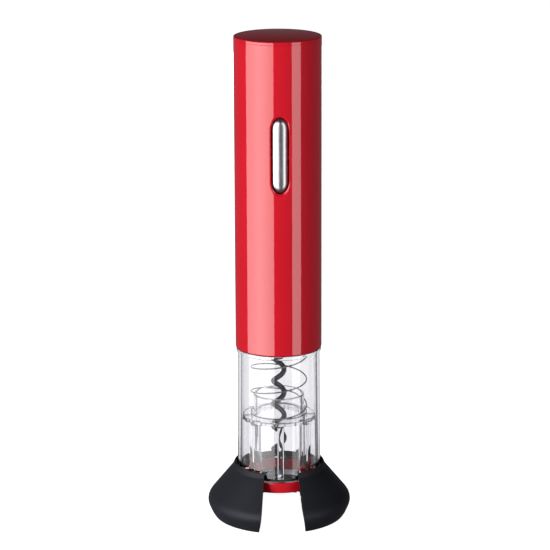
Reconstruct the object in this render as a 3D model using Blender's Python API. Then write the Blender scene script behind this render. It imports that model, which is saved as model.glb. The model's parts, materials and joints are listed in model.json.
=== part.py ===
"""Battery-powered wine opener standing in its squeeze-type foil cutter.

Frame: +Z up, origin on the table under the middle of the opener, -Y is the button's side.
Lengths are in millimetres and are turned into metres where each mesh is made.
"""

import math

import bmesh
import bpy
from mathutils import Matrix

MM = 0.001

# ---------------------------------------------------------------- driving dimensions
# Handle
TOTAL_HEIGHT = 284.0
BODY_LENGTH = 181.5
BODY_RADIUS = 25.0
BODY_WALL = 2.2
FRAME_WALL = 1.8
EDGE_FILLET = 1.4

# Clear sleeve and its end ring
RING_BOTTOM = 19.7
RING_HEIGHT = 6.3
RING_RADIUS = 24.5
RING_BORE = 21.4
SLEEVE_WALL = 2.3
SLEEVE_DRAFT = 0.65
SLEEVE_FLANGE = 2.3
SLEEVE_LIP = 1.9
SPIGOT_LENGTH = 5.5
RIB_COUNT = 8
RIB_WIDTH = 3.7
RIB_HEIGHT = 31.0
NECK_RADIUS = 16.0

# Cork guide and its spring
GUIDE_FLANGE = 2.2
GUIDE_HEIGHT = 14.5
GUIDE_BORE = 13.0
GUIDE_WALL = 1.7
GUIDE_TRAVEL = 28.0
SPRING_WIRE = 0.8
SPRING_RADIUS = 16.2
SPRING_PITCH = 14.7
SPRING_PHASE_HEIGHT = 67.9
SPRING_SEAT = 13.7

# Worm
WORM_RADIUS = 4.6
WORM_WIRE = 3.0
WORM_PITCH = 13.95
WORM_TIP = 22.0
WORM_PHASE_HEIGHT = 32.35
SHANK_LENGTH = 6.0
HUB_RADIUS = 6.5
HUB_LENGTH = 18.0
HUB_GAP = 11.0
SHAFT_RADIUS = 3.0

# Gearbox: two stages of sun, three planets and one shared ring
MODULE = 0.6
SUN_TEETH = 9
PLANET_TEETH = 18
RING_TEETH = 45
PLANETS = 3
PLANET_WIDTH = 9.0
CARRIER_THICKNESS = 2.7
PLANET_PIN = 1.1
RING_GEAR_WALL = 2.3
BEARING_RADIUS = 8.0
BEARING_WIDTH = 6.0

# Motor and batteries
MOTOR_RADIUS = 13.8
MOTOR_LENGTH = 33.0
MOTOR_SHAFT = 1.15
MOTOR_PLATE = 1.7
MOTOR_SCREW_ORBIT = 8.0
MOTOR_SCREW_HEAD = 2.0
MOTOR_SCREW_RADIUS = 1.0
MOTOR_CAN_WALL = 1.2
MOTOR_CAN_END = 1.6
MOTOR_CAP = 3.2
LEAD_SPACING = 9.0
LEAD_RADIUS = 0.5
CELL_RADIUS = 7.25
CELL_LENGTH = 50.5
CELL_OFFSET = 8.2
HOLDER_DISC = 2.0
HOLDER_SPINE = 1.2
CAP_SKIRT = 11.0
CAP_PLATE = 1.8
CONTACT_THICKNESS = 0.6
CONTACT_HALF = 3.2
CONTACT_SPRING = 2.0

# Rocker button, its recess and its switches
BUTTON_BELOW_TOP = 64.4
BUTTON_LENGTH = 43.3
BUTTON_WIDTH = 9.3
BUTTON_GAP = 0.42
BUTTON_CROWN = 0.5
RECESS_LENGTH = 47.9
RECESS_WIDTH = 14.4
RECESS_FLAT = 1.1
PIVOT_DEPTH = 4.7
PIVOT_PIN = 0.8
BRACKET_INNER = 4.95
BRACKET_OUTER = 6.4
BOARD_THICKNESS = 1.1
BOARD_LENGTH = 40.0
BOARD_WIDTH = 12.0
SWITCH_SPACING = 26.0
SWITCH_SIZE = 6.0

# Foil cutter that the opener stands in
CUTTER_HEIGHT = 32.0
CUTTER_RADIUS = 42.9
CUTTER_WIDEST = 10.0
CUTTER_ROUND = 7.0
CUTTER_FOOT_RADIUS = 37.9
FOOT_LIP = 1.6
FOOT_LIP_HEIGHT = 2.4
CUTTER_SKIN = 2.0
CUTTER_RIM_WALL = 1.0
CUTTER_SOCKET_GAP = 0.7
NECK_FOOT = 29.2
NECK_FLARE = 1.15
LEDGE_THICKNESS = 2.0
LEDGE_BORE = 21.5
SLOT_HALF_AT_TABLE = 13.4
SLOT_HALF_AT_RIM = 9.6
BACK_SLOT_HALF = 13.0
BRIDGE_HEIGHT = 29.5
BRIDGE_INSET = 1.9
JAW_GAP = 0.8
HINGE_X = 15.0
HINGE_Y = 29.5
HINGE_PIN = 1.5
KNUCKLE_RADIUS = 3.0
LUG_HEIGHT = 2.0
KNUCKLE_HEIGHT = 4.0
LUG_BOTTOM = 2.6
SHELF_BORE = 16.5
SHELF_THICKNESS = 2.0
SHELF_BOTTOM = 5.8
WHEEL_RADIUS = 4.5
WHEEL_THICKNESS = 1.2
WHEEL_REACH = 15.2
WHEEL_ANGLE = 25.0
WHEEL_SLOT = 2.4
AXLE_RADIUS = 1.0

# Clearances
FIT = 0.3
RUNNING = 0.3
LOOSE = 0.45

# Roundness: sides of a full turn, the degrees between an arc's points, and the radius that gets them closer
COARSE, MEDIUM, FINE = 12, 24, 40
ARC_STEP = 42
BIG_ARC = 4.0

# ---------------------------------------------------------------- derived sizes
body_bottom = TOTAL_HEIGHT - BODY_LENGTH
body_bore = BODY_RADIUS - BODY_WALL
inner_radius = body_bore - LOOSE
frame_bore = inner_radius - FRAME_WALL
ring_top = RING_BOTTOM + RING_HEIGHT
sleeve_bottom = ring_top + FIT
sleeve_bore = RING_RADIUS - SLEEVE_WALL
guide_rest = sleeve_bottom + RIB_HEIGHT + 2 * FIT + 1.6
guide_flange_radius = sleeve_bore - 3 * FIT
sleeve_top = body_bottom + SPIGOT_LENGTH

cap_underside = TOTAL_HEIGHT - CAP_PLATE
contact_top = cap_underside - FIT
cell_top = contact_top - CONTACT_THICKNESS - 1.5
cell_bottom = cell_top - CELL_LENGTH
holder_top = cell_bottom - CONTACT_SPRING - CONTACT_THICKNESS - 2 * FIT
holder_bottom = holder_top - HOLDER_DISC
motor_top = holder_bottom - 2.0 - MOTOR_CAP
motor_bottom = motor_top - MOTOR_LENGTH
motor_plate_top = motor_bottom - FIT
motor_plate_bottom = motor_plate_top - MOTOR_PLATE

sun_pitch = MODULE * SUN_TEETH / 2
planet_pitch = MODULE * PLANET_TEETH / 2
ring_pitch = MODULE * RING_TEETH / 2
planet_orbit = sun_pitch + planet_pitch
addendum = 0.7 * MODULE
dedendum = 1.15 * MODULE
ring_gear_radius = ring_pitch + dedendum + RING_GEAR_WALL
carrier_radius = ring_pitch - addendum - 2 * FIT
stage_height = PLANET_WIDTH + CARRIER_THICKNESS + 2 * LOOSE
gear_top = motor_plate_bottom - FIT
planet_1_top = gear_top - 1.2
carrier_1_top = planet_1_top - PLANET_WIDTH - LOOSE
planet_2_top = planet_1_top - stage_height
carrier_2_top = planet_2_top - PLANET_WIDTH - LOOSE
carrier_2_bottom = carrier_2_top - CARRIER_THICKNESS
gear_bottom = carrier_2_bottom - 2 * FIT
bearing_plate_top = gear_bottom - FIT
bearing_plate_bottom = bearing_plate_top - BEARING_WIDTH

hub_top = bearing_plate_bottom - HUB_GAP
hub_bottom = hub_top - HUB_LENGTH
worm_top = hub_bottom - 1.5 * WORM_WIRE
shaft_bottom = hub_top - HUB_LENGTH / 2 + 1.0
frame_bottom = sleeve_top + FIT
spring_seat = body_bottom + SPRING_SEAT

button_height = TOTAL_HEIGHT - BUTTON_BELOW_TOP
recess_face = BODY_RADIUS - RECESS_FLAT
button_face = BODY_RADIUS + 0.4
pivot_y = -(BODY_RADIUS - PIVOT_DEPTH)
board_front = -(CELL_OFFSET + CELL_RADIUS + FIT + BOARD_THICKNESS)

socket_radius = RING_RADIUS + CUTTER_SOCKET_GAP
rim_radius = socket_radius + CUTTER_RIM_WALL
ledge_top = RING_BOTTOM - FIT
shelf_top = SHELF_BOTTOM + SHELF_THICKNESS
upper_shelf_bottom = shelf_top + WHEEL_SLOT
upper_shelf_top = upper_shelf_bottom + SHELF_THICKNESS
lug_low_top = LUG_BOTTOM + LUG_HEIGHT
knuckle_bottom = lug_low_top + FIT
knuckle_top = knuckle_bottom + KNUCKLE_HEIGHT
lug_high_bottom = knuckle_top + FIT
lug_high_top = lug_high_bottom + LUG_HEIGHT
wheel_height = (shelf_top + upper_shelf_bottom) / 2
wheel_orbit = WHEEL_REACH + WHEEL_RADIUS

# name: base colour, roughness, metallic, transmission
FINISHES = {
    "red_gloss": ((0.68, 0.012, 0.025), 0.18, 0.0, 0.0),
    "clear_plastic": ((0.93, 0.94, 0.96), 0.05, 0.0, 0.9),
    "black_plastic": ((0.035, 0.036, 0.04), 0.42, 0.0, 0.0),
    "grey_plastic": ((0.35, 0.36, 0.38), 0.5, 0.0, 0.0),
    "silver": ((0.72, 0.73, 0.75), 0.28, 1.0, 0.0),
    "steel": ((0.6, 0.6, 0.62), 0.3, 1.0, 0.0),
    "worm_coating": ((0.05, 0.055, 0.07), 0.25, 0.4, 0.0),
    "brass": ((0.75, 0.55, 0.25), 0.3, 1.0, 0.0),
    "board_green": ((0.03, 0.22, 0.08), 0.5, 0.0, 0.0),
    "cell_wrap": ((0.08, 0.09, 0.12), 0.35, 0.2, 0.0),
    "gear_plastic": ((0.85, 0.84, 0.78), 0.45, 0.0, 0.0),
    "lead_red": ((0.6, 0.03, 0.03), 0.5, 0.0, 0.0),
    "lead_black": ((0.03, 0.03, 0.03), 0.5, 0.0, 0.0),
}


# ---------------------------------------------------------------- modelling helpers
def clear_scene():
    for obj in list(bpy.data.objects):
        bpy.data.objects.remove(obj, do_unlink=True)


def material(name):
    """The material of this finish, made the first time it is asked for."""
    found = bpy.data.materials.get(name)
    if found:
        return found
    colour, roughness, metallic, transmission = FINISHES[name]
    made = bpy.data.materials.new(name)
    made.use_nodes = True
    shader = made.node_tree.nodes["Principled BSDF"]
    shader.inputs["Base Color"].default_value = (*colour, 1.0)
    shader.inputs["Roughness"].default_value = roughness
    shader.inputs["Metallic"].default_value = metallic
    shader.inputs["Transmission Weight"].default_value = transmission
    return made


def outline(corners):
    """A polyline from (r, z) corners; a third value rounds that corner with an arc of that radius."""
    points = []
    count = len(corners)
    for i, corner in enumerate(corners):
        if len(corner) == 2:
            points.append(corner)
            continue
        x, y, radius = corner
        before = corners[i - 1]
        after = corners[(i + 1) % count]
        back = math.hypot(before[0] - x, before[1] - y)
        ahead = math.hypot(after[0] - x, after[1] - y)
        u = ((before[0] - x) / back, (before[1] - y) / back)
        v = ((after[0] - x) / ahead, (after[1] - y) / ahead)
        half = math.acos(max(-1.0, min(1.0, u[0] * v[0] + u[1] * v[1]))) / 2
        reach = min(radius / math.tan(half), 0.49 * back, 0.49 * ahead)
        radius = reach * math.tan(half)
        middle = (u[0] + v[0], u[1] + v[1])
        length = math.hypot(*middle)
        away = radius / math.sin(half)
        cx = x + middle[0] / length * away
        cy = y + middle[1] / length * away
        first = math.atan2(y + u[1] * reach - cy, x + u[0] * reach - cx)
        last = math.atan2(y + v[1] * reach - cy, x + v[0] * reach - cx)
        turn = (last - first + math.pi) % (2 * math.pi) - math.pi
        step = ARC_STEP / 3 if radius > BIG_ARC else ARC_STEP
        steps = max(1, round(abs(turn) / math.radians(step)))
        for k in range(steps + 1):
            a = first + turn * k / steps
            points.append((cx + radius * math.cos(a), cy + radius * math.sin(a)))
    return points


def lathe(corners, segments, start=0.0, sweep=360.0):
    """The outline turned about Z. A corner at r = 0 closes on the axis; less than a full turn gets end faces."""
    bm = bmesh.new()
    points = outline(corners)
    on_axis = points[0][0] == 0 and points[-1][0] == 0
    ring = [bm.verts.new((r, 0, z)) for r, z in points]
    ends = len(ring) - 1 if on_axis else len(ring)
    edges = [bm.edges.new((ring[i], ring[(i + 1) % len(ring)])) for i in range(ends)]
    full = sweep >= 360.0
    geometry = ring + edges if full else [bm.faces.new(ring)]
    bmesh.ops.rotate(bm, verts=ring, matrix=Matrix.Rotation(math.radians(start), 3, "Z"))
    bmesh.ops.spin(
        bm,
        geom=geometry,
        axis=(0, 0, 1),
        cent=(0, 0, 0),
        angle=math.radians(sweep),
        steps=segments,
        use_merge=full,
    )
    bmesh.ops.remove_doubles(bm, verts=bm.verts, dist=0.0005)
    return bm


def circle(radius, segments, centre=(0.0, 0.0), phase=0.0):
    """Points of a circle as a flat loop."""
    step = 2 * math.pi / segments
    return [
        (centre[0] + radius * math.cos(phase + k * step), centre[1] + radius * math.sin(phase + k * step))
        for k in range(segments)
    ]


def capsule(width, length, steps=8):
    """A long loop with elliptic ends, standing on its short side."""
    straight = length / 2 - 0.75 * width
    points = []
    for sign in (1, -1):
        for k in range(steps + 1):
            a = math.pi * k / steps
            points.append((sign * width / 2 * math.cos(a), sign * (straight + 0.75 * width * math.sin(a))))
    return points


def gear_loop(teeth, tip, root, phase=0.0):
    """A toothed loop with straight flanks; an inner gear has its root outside its tip."""
    pitch = MODULE * teeth / 2
    share = 0.4 * math.pi * MODULE
    flank = math.tan(math.radians(20))
    at_tip = (share - 2 * addendum * flank) / 2 / pitch
    at_root = (share + 2 * dedendum * flank) / 2 / pitch
    points = []
    for k in range(teeth):
        a = phase + 2 * math.pi * k / teeth
        for radius, turn in ((root, -at_root), (tip, -at_tip), (tip, at_tip), (root, at_root)):
            points.append((radius * math.cos(a + turn), radius * math.sin(a + turn)))
    return points


def prism(loops, low, high):
    """A plate between two heights; the first loop is its edge and the others are holes."""
    bm = bmesh.new()
    for loop in loops:
        ring = [bm.verts.new((x, y, low)) for x, y in loop]
        for i in range(len(ring)):
            bm.edges.new((ring[i - 1], ring[i]))
    bmesh.ops.triangle_fill(bm, use_beauty=True, edges=bm.edges[:])
    raised = bmesh.ops.extrude_face_region(bm, geom=bm.faces[:])
    lifted = [v for v in raised["geom"] if isinstance(v, bmesh.types.BMVert)]
    bmesh.ops.translate(bm, verts=lifted, vec=(0, 0, high - low))
    return bm


def block(low, high):
    """A box between two corners."""
    bm = bmesh.new()
    bmesh.ops.create_cube(bm, size=1.0)
    for vert in bm.verts:
        vert.co = [lo + (c + 0.5) * (hi - lo) for lo, hi, c in zip(low, high, vert.co)]
    return bm


def rod(radius, low, high, centre=(0.0, 0.0), segments=COARSE):
    """An upright cylinder."""
    return prism([circle(radius, segments, centre)], low, high)


def turned_to(bm, axis):
    """Tips an upright shape so that its +Z points along X or -Y."""
    turn = {"X": Matrix.Rotation(math.pi / 2, 3, "Y"), "-Y": Matrix.Rotation(math.pi / 2, 3, "X")}
    bmesh.ops.rotate(bm, verts=bm.verts, matrix=turn[axis])
    return bm


def place(bm, name, finish, at=(0.0, 0.0, 0.0), turn=(0.0, 0.0, 0.0), parent=None):
    """Makes the named object from a mesh whose points are relative to its place."""
    bmesh.ops.recalc_face_normals(bm, faces=bm.faces)
    mesh = bpy.data.meshes.new(name)
    bm.to_mesh(mesh)
    bm.free()
    mesh.transform(Matrix.Scale(MM, 4))
    mesh.materials.append(material(finish))
    mesh.shade_smooth()
    mesh.set_sharp_from_angle(angle=math.radians(32))
    return place_mesh(mesh, name, at, turn, parent)


def place_mesh(mesh, name, at=(0.0, 0.0, 0.0), turn=(0.0, 0.0, 0.0), parent=None):
    """One more object of a mesh that is there already."""
    obj = bpy.data.objects.new(name, mesh)
    bpy.context.scene.collection.objects.link(obj)
    obj.location = [c * MM for c in at]
    obj.rotation_euler = turn
    obj.parent = parent
    return obj


def axis_at(name, at, parent=None):
    """An empty on a joint's axis, which carries the pieces that move together."""
    empty = place_mesh(None, name, at, parent=parent)
    empty.empty_display_size = 5 * MM
    return empty


def boolean(obj, bm, operation, at=(0.0, 0.0, 0.0)):
    """Cuts, joins or keeps the piece with a hidden helper, whose points are relative to the piece's own place."""
    helper = place(bm, f"{obj.name}_{operation.lower()}_{len(obj.modifiers)}", obj.data.materials[0].name)
    helper.location = [c * MM for c in at]
    helper.parent = obj
    helper.hide_render = True
    helper.display_type = "WIRE"
    modifier = obj.modifiers.new(operation.title(), "BOOLEAN")
    modifier.operation = operation
    modifier.object = helper
    return helper


def cut(obj, bm, at=(0.0, 0.0, 0.0)):
    return boolean(obj, bm, "DIFFERENCE", at)


def fuse(obj, bm, at=(0.0, 0.0, 0.0)):
    return boolean(obj, bm, "UNION", at)


def wire(name, finish, points, thickness, radii=None, at=(0.0, 0.0, 0.0), parent=None, sides=1):
    """A round wire along points, with filled ends; radii thin it along its length."""
    curve = bpy.data.curves.new(name, "CURVE")
    curve.dimensions = "3D"
    curve.bevel_depth = thickness / 2 * MM
    curve.bevel_resolution = sides
    curve.use_fill_caps = True
    spline = curve.splines.new("POLY")
    spline.points.add(len(points) - 1)
    for i, (x, y, z) in enumerate(points):
        spline.points[i].co = (x * MM, y * MM, z * MM, 1)
        spline.points[i].radius = radii[i] if radii else 1.0
    curve.materials.append(material(finish))
    return place_mesh(curve, name, at, parent=parent)


def helix(radius, pitch, low, high, per_turn, zero_at=0.0):
    """Points of a right-handed helix that crosses +X at the height zero_at."""
    count = max(2, round((high - low) / pitch * per_turn))
    points = []
    for k in range(count + 1):
        z = low + (high - low) * k / count
        a = 2 * math.pi * (z - zero_at) / pitch
        points.append((radius * math.cos(a), radius * math.sin(a), z))
    return points


# ---------------------------------------------------------------- foil cutter
def cutter_outer(inset=0.0):
    """The skirt's outer corners, from the foot up to the rim's outside."""
    return [
        (CUTTER_FOOT_RADIUS - inset, 0.0, 1.2),
        (CUTTER_FOOT_RADIUS + FOOT_LIP - inset, FOOT_LIP_HEIGHT, 0.8),
        (CUTTER_RADIUS - inset, CUTTER_WIDEST, CUTTER_ROUND),
        (rim_radius + NECK_FLARE - inset, NECK_FOOT, 3.0),
        (rim_radius - inset, CUTTER_HEIGHT),
    ]


def skin_radius(z, inset=0.0):
    """The inner face of the skirt at this height: parallel to its slope, or to its foot below the widest place."""
    dr = rim_radius + NECK_FLARE - CUTTER_RADIUS
    dz = NECK_FOOT - CUTTER_WIDEST
    length = math.hypot(dr, dz)
    r0 = CUTTER_RADIUS - CUTTER_SKIN * dz / length
    z0 = CUTTER_WIDEST + CUTTER_SKIN * dr / length
    sloping = r0 + (z - z0) * dr / dz
    lip = CUTTER_FOOT_RADIUS + FOOT_LIP
    foot = lip + (z - FOOT_LIP_HEIGHT) * (CUTTER_RADIUS - lip) / (CUTTER_WIDEST - FOOT_LIP_HEIGHT)
    return min(sloping, foot - CUTTER_SKIN) - inset


def jaw_corners():
    """One jaw's section: thin skirt, ledge for the opener, and two shelves that hold the wheels."""
    slope = skin_radius(ledge_top) - skin_radius(ledge_top + 1.0)
    socket_foot = ledge_top + (skin_radius(ledge_top) - socket_radius) / slope
    foot_inside = CUTTER_FOOT_RADIUS - CUTTER_SKIN
    return cutter_outer() + [
        (socket_radius, CUTTER_HEIGHT),
        (socket_radius, socket_foot),
        (skin_radius(ledge_top), ledge_top),
        (LEDGE_BORE, ledge_top),
        (LEDGE_BORE, ledge_top - LEDGE_THICKNESS),
        (skin_radius(ledge_top - LEDGE_THICKNESS), ledge_top - LEDGE_THICKNESS),
        (skin_radius(upper_shelf_top), upper_shelf_top),
        (SHELF_BORE, upper_shelf_top),
        (SHELF_BORE, upper_shelf_bottom),
        (skin_radius(upper_shelf_bottom), upper_shelf_bottom),
        (skin_radius(shelf_top), shelf_top),
        (SHELF_BORE, shelf_top),
        (SHELF_BORE, SHELF_BOTTOM),
        (skin_radius(SHELF_BOTTOM), SHELF_BOTTOM),
        (foot_inside, 0.0),
    ]


def slot_prism():
    """The front slot as a wedge along Y, wider at the table."""
    low, high = -5.0, CUTTER_HEIGHT + 5.0
    slope = (SLOT_HALF_AT_TABLE - SLOT_HALF_AT_RIM) / CUTTER_HEIGHT
    wide = SLOT_HALF_AT_TABLE - slope * low
    narrow = SLOT_HALF_AT_TABLE - slope * high
    bm = prism([[(-wide, low), (wide, low), (narrow, high), (-narrow, high)]], 0.0, CUTTER_RADIUS + 10)
    return turned_to(bm, "-Y")


def wheel_places():
    """(side, x, y) of each cutting wheel: two on each jaw."""
    angle = math.radians(WHEEL_ANGLE)
    return [
        (side, side * wheel_orbit * math.cos(angle), end * wheel_orbit * math.sin(angle))
        for side in (-1, 1)
        for end in (-1, 1)
    ]


def make_jaw(name, side, parent):
    """One petal of the cutter; its origin is on its hinge pin."""
    origin = (-side * HINGE_X, -HINGE_Y, 0.0)
    body = lathe(jaw_corners(), FINE // 2, start=-90.0 if side > 0 else 90.0, sweep=180.0)
    bmesh.ops.translate(body, verts=body.verts, vec=origin)
    jaw = place(body, name, "black_plastic", parent=parent)
    cut(jaw, slot_prism(), origin)
    back = block((-BACK_SLOT_HALF, 0, -5), (BACK_SLOT_HALF, CUTTER_RADIUS + 5, CUTTER_HEIGHT + 5))
    cut(jaw, back, origin)
    for wheel_side, x, y in wheel_places():
        if wheel_side == side:
            bore = rod(AXLE_RADIUS + 0.25, 0, upper_shelf_top + 2)
            cut(jaw, bore, (x + origin[0], y + origin[1], 0.0))
    cut(jaw, rod(KNUCKLE_RADIUS + JAW_GAP, -5, lug_high_top + 1.3, segments=COARSE))
    arm = sorted((0.0, side * (KNUCKLE_RADIUS + 5.0)))
    half = KNUCKLE_RADIUS * 0.75
    fuse(jaw, rod(KNUCKLE_RADIUS, knuckle_bottom, knuckle_top, segments=COARSE))
    fuse(jaw, block((arm[0], -half, knuckle_bottom + 0.2), (arm[1], half, knuckle_top - 0.2)))
    cut(jaw, rod(HINGE_PIN + RUNNING, -5, lug_high_top + 5))
    return jaw


def make_bridge():
    """The fixed back of the cutter, with the lugs that carry both hinge pins."""
    corners = cutter_outer(BRIDGE_INSET)
    inside = [
        (socket_radius + 0.3, CUTTER_HEIGHT),
        (socket_radius + 0.3, NECK_FOOT - 1.5),
        (skin_radius(CUTTER_WIDEST, BRIDGE_INSET), CUTTER_WIDEST),
        (CUTTER_FOOT_RADIUS - CUTTER_SKIN - BRIDGE_INSET, 0.0),
    ]
    corners[-2] = (rim_radius + NECK_FLARE, NECK_FOOT)
    corners[-1] = (rim_radius + 0.6, CUTTER_HEIGHT)
    bridge = place(lathe(corners + inside, 8, start=67.5, sweep=45.0), "cutter_bridge", "black_plastic")
    half = BACK_SLOT_HALF - JAW_GAP
    keep = block((-half, 0, -5), (half, CUTTER_RADIUS + 5, BRIDGE_HEIGHT))
    boolean(bridge, keep, "INTERSECT")
    depth = KNUCKLE_RADIUS * 0.86
    narrowest = min(skin_radius(LUG_BOTTOM, BRIDGE_INSET), skin_radius(lug_high_top, BRIDGE_INSET))
    wall = math.sqrt((narrowest + CUTTER_SKIN / 2) ** 2 - half**2)
    for low, high in ((LUG_BOTTOM, lug_low_top), (lug_high_bottom, lug_high_top)):
        fuse(bridge, block((-half, HINGE_Y - depth, low), (half, wall, high)))
        for side in (-1, 1):
            x = side * HINGE_X
            reach = sorted((side * (half - 1.0), x))
            arm = block((reach[0], HINGE_Y - depth, low), (reach[1], HINGE_Y + depth, high))
            fuse(bridge, arm)
            fuse(bridge, rod(KNUCKLE_RADIUS, low, high, (x, HINGE_Y), segments=COARSE))
    post_low = upper_shelf_top + 1.0
    post = block((-3, HINGE_Y + 1.4, lug_high_top - 0.5), (3, wall, post_low + 3.4))
    fuse(bridge, post)
    for side in (-1, 1):
        cut(bridge, rod(HINGE_PIN + FIT, -5, lug_high_top + 5, (side * HINGE_X, HINGE_Y)))
    return bridge


def make_cutter():
    bridge = make_bridge()
    spring_radius = HINGE_Y + 0.5
    strip = [
        (spring_radius, upper_shelf_top + 1.0),
        (spring_radius + 0.6, upper_shelf_top + 1.0),
        (spring_radius + 0.6, upper_shelf_top + 4.2),
        (spring_radius, upper_shelf_top + 4.2),
    ]
    place(lathe(strip, 10, start=57.0, sweep=66.0), "jaw_spring", "steel", parent=bridge)
    pin = [
        (0, LUG_BOTTOM + 0.1),
        (HINGE_PIN, LUG_BOTTOM + 0.1),
        (HINGE_PIN, lug_high_top + FIT),
        (KNUCKLE_RADIUS - 0.6, lug_high_top + FIT),
        (KNUCKLE_RADIUS - 0.6, lug_high_top + FIT + 0.7),
        (0, lug_high_top + FIT + 0.7),
    ]
    wheel = [
        (AXLE_RADIUS + RUNNING, -WHEEL_THICKNESS / 2),
        (WHEEL_RADIUS - 1.4, -WHEEL_THICKNESS / 2),
        (WHEEL_RADIUS, -0.08),
        (WHEEL_RADIUS, 0.08),
        (WHEEL_RADIUS - 1.4, WHEEL_THICKNESS / 2),
        (AXLE_RADIUS + RUNNING, WHEEL_THICKNESS / 2),
    ]
    axle = [
        (0, SHELF_BOTTOM + 0.1),
        (AXLE_RADIUS, SHELF_BOTTOM + 0.1),
        (AXLE_RADIUS, upper_shelf_top + FIT),
        (AXLE_RADIUS + 0.9, upper_shelf_top + FIT),
        (AXLE_RADIUS + 0.9, upper_shelf_top + FIT + 0.8),
        (0, upper_shelf_top + FIT + 0.8),
    ]
    number = 0
    for side, word in ((-1, "left"), (1, "right")):
        hinge = axis_at(f"{word}_jaw_axis", (side * HINGE_X, HINGE_Y, 0.0), bridge)
        make_jaw(f"{word}_jaw", side, hinge)
        place(lathe(pin, COARSE), f"hinge_pin_{word}", "steel", (side * HINGE_X, HINGE_Y, 0.0), parent=bridge)
        for wheel_side, x, y in wheel_places():
            if wheel_side != side:
                continue
            number += 1
            at = (x - side * HINGE_X, y - HINGE_Y, 0.0)
            place(lathe(axle, 12), f"wheel_axle_{number}", "steel", at, parent=hinge)
            hub = (at[0], at[1], wheel_height)
            place(lathe(wheel, 16), f"cutting_wheel_{number}", "steel", hub, parent=hinge)
    return bridge


# ---------------------------------------------------------------- handle
def make_housing(opener):
    """The red tube, with the button's recess and opening."""
    corners = [
        (BODY_RADIUS, 0.0, 0.6),
        (BODY_RADIUS, cap_underside - body_bottom),
        (body_bore, cap_underside - body_bottom),
        (body_bore, 0.0),
    ]
    tube = place(lathe(corners, FINE), "housing_tube", "red_gloss", (0, 0, body_bottom), parent=opener)
    centre = (0.0, 0.0, button_height - body_bottom)
    recess = prism([capsule(RECESS_WIDTH, RECESS_LENGTH)], recess_face, BODY_RADIUS + 5)
    cut(tube, turned_to(recess, "-Y"), centre)
    gap = 2 * BUTTON_GAP
    opening = prism([capsule(BUTTON_WIDTH + gap, BUTTON_LENGTH + gap)], body_bore - 6, BODY_RADIUS + 5)
    cut(tube, turned_to(opening, "-Y"), centre)
    return tube


def make_sleeve(opener):
    """The clear sleeve that guides the bottle's neck, with its ribs and the spigot that fits in the handle."""
    height = sleeve_top - sleeve_bottom
    lip = body_bottom - FIT - sleeve_bottom
    upper = RING_RADIUS - SLEEVE_DRAFT
    corners = [
        (RING_RADIUS, 0.0, 0.4),
        (RING_RADIUS, SLEEVE_FLANGE),
        (RING_RADIUS - 0.25, SLEEVE_FLANGE + 0.4),
        (upper, lip - SLEEVE_LIP - 0.4),
        (upper + 0.75, lip - SLEEVE_LIP),
        (upper + 0.75, lip),
        (inner_radius, lip),
        (inner_radius, height),
        (inner_radius - 1.8, height),
        (inner_radius - 1.8, lip + 1.0),
        (upper - SLEEVE_WALL, lip - SLEEVE_LIP),
        (sleeve_bore, 0.0),
    ]
    sleeve = place(lathe(corners, FINE), "clear_sleeve", "clear_plastic", (0, 0, sleeve_bottom), parent=opener)
    rib_low = 1.6
    for k in range(RIB_COUNT):
        section = [
            (NECK_RADIUS, rib_low + 1.5),
            (NECK_RADIUS + 1.5, rib_low),
            (sleeve_bore + 0.8, rib_low),
            (sleeve_bore + 0.8, rib_low + RIB_HEIGHT),
            (NECK_RADIUS, rib_low + RIB_HEIGHT),
        ]
        rib = prism([section], -RIB_WIDTH / 2, RIB_WIDTH / 2)
        bmesh.ops.rotate(rib, verts=rib.verts, matrix=Matrix.Rotation(math.pi / 2, 3, "X"))
        turn = Matrix.Rotation(2 * math.pi * k / RIB_COUNT - math.pi / 2, 3, "Z")
        bmesh.ops.rotate(rib, verts=rib.verts, matrix=turn)
        fuse(sleeve, rib)
    return sleeve


def make_end_ring(opener):
    corners = [
        (RING_RADIUS, 0.0, 1.2),
        (RING_RADIUS, RING_HEIGHT),
        (RING_BORE, RING_HEIGHT),
        (RING_BORE, 0.0),
    ]
    return place(lathe(corners, FINE), "end_ring", "red_gloss", (0, 0, RING_BOTTOM), parent=opener)


def make_guide(opener):
    """The clear cork guide and the spring over it."""
    slide = axis_at("guide_axis", (0, 0, guide_rest), opener)
    outer = GUIDE_BORE + GUIDE_WALL
    corners = [
        (guide_flange_radius, 0.0),
        (guide_flange_radius, GUIDE_FLANGE),
        (outer + 0.1, GUIDE_FLANGE),
        (outer, GUIDE_HEIGHT, 0.6),
        (GUIDE_BORE, GUIDE_HEIGHT, 0.6),
        (GUIDE_BORE, 0.0),
    ]
    place(lathe(corners, FINE), "cork_guide", "clear_plastic", parent=slide)
    low = guide_rest + GUIDE_FLANGE + SPRING_WIRE / 2 + FIT
    high = spring_seat - SPRING_WIRE / 2 - FIT
    points = helix(SPRING_RADIUS, SPRING_PITCH, low, high, 20, SPRING_PHASE_HEIGHT)
    return wire("guide_spring", "steel", points, SPRING_WIRE, parent=opener)


def make_chamber_frame(opener):
    """The chassis between the sleeve and the gearbox: it seats the spring and stops the guide."""
    seat = spring_seat - frame_bottom
    top = bearing_plate_bottom - FIT - frame_bottom
    bore = GUIDE_BORE + GUIDE_WALL + 0.6
    corners = [
        (inner_radius, 0.0),
        (inner_radius, top),
        (BEARING_RADIUS + 1.5, top),
        (BEARING_RADIUS + 1.5, top - 2.2),
        (inner_radius - 2.0, top - 2.2),
        (inner_radius - 2.0, seat + 2.2),
        (bore, seat + 2.2),
        (bore, seat),
        (inner_radius - 2.0, seat),
        (inner_radius - 2.0, 0.0),
    ]
    return place(lathe(corners, MEDIUM), "chamber_frame", "grey_plastic", (0, 0, frame_bottom), parent=opener)


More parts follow.
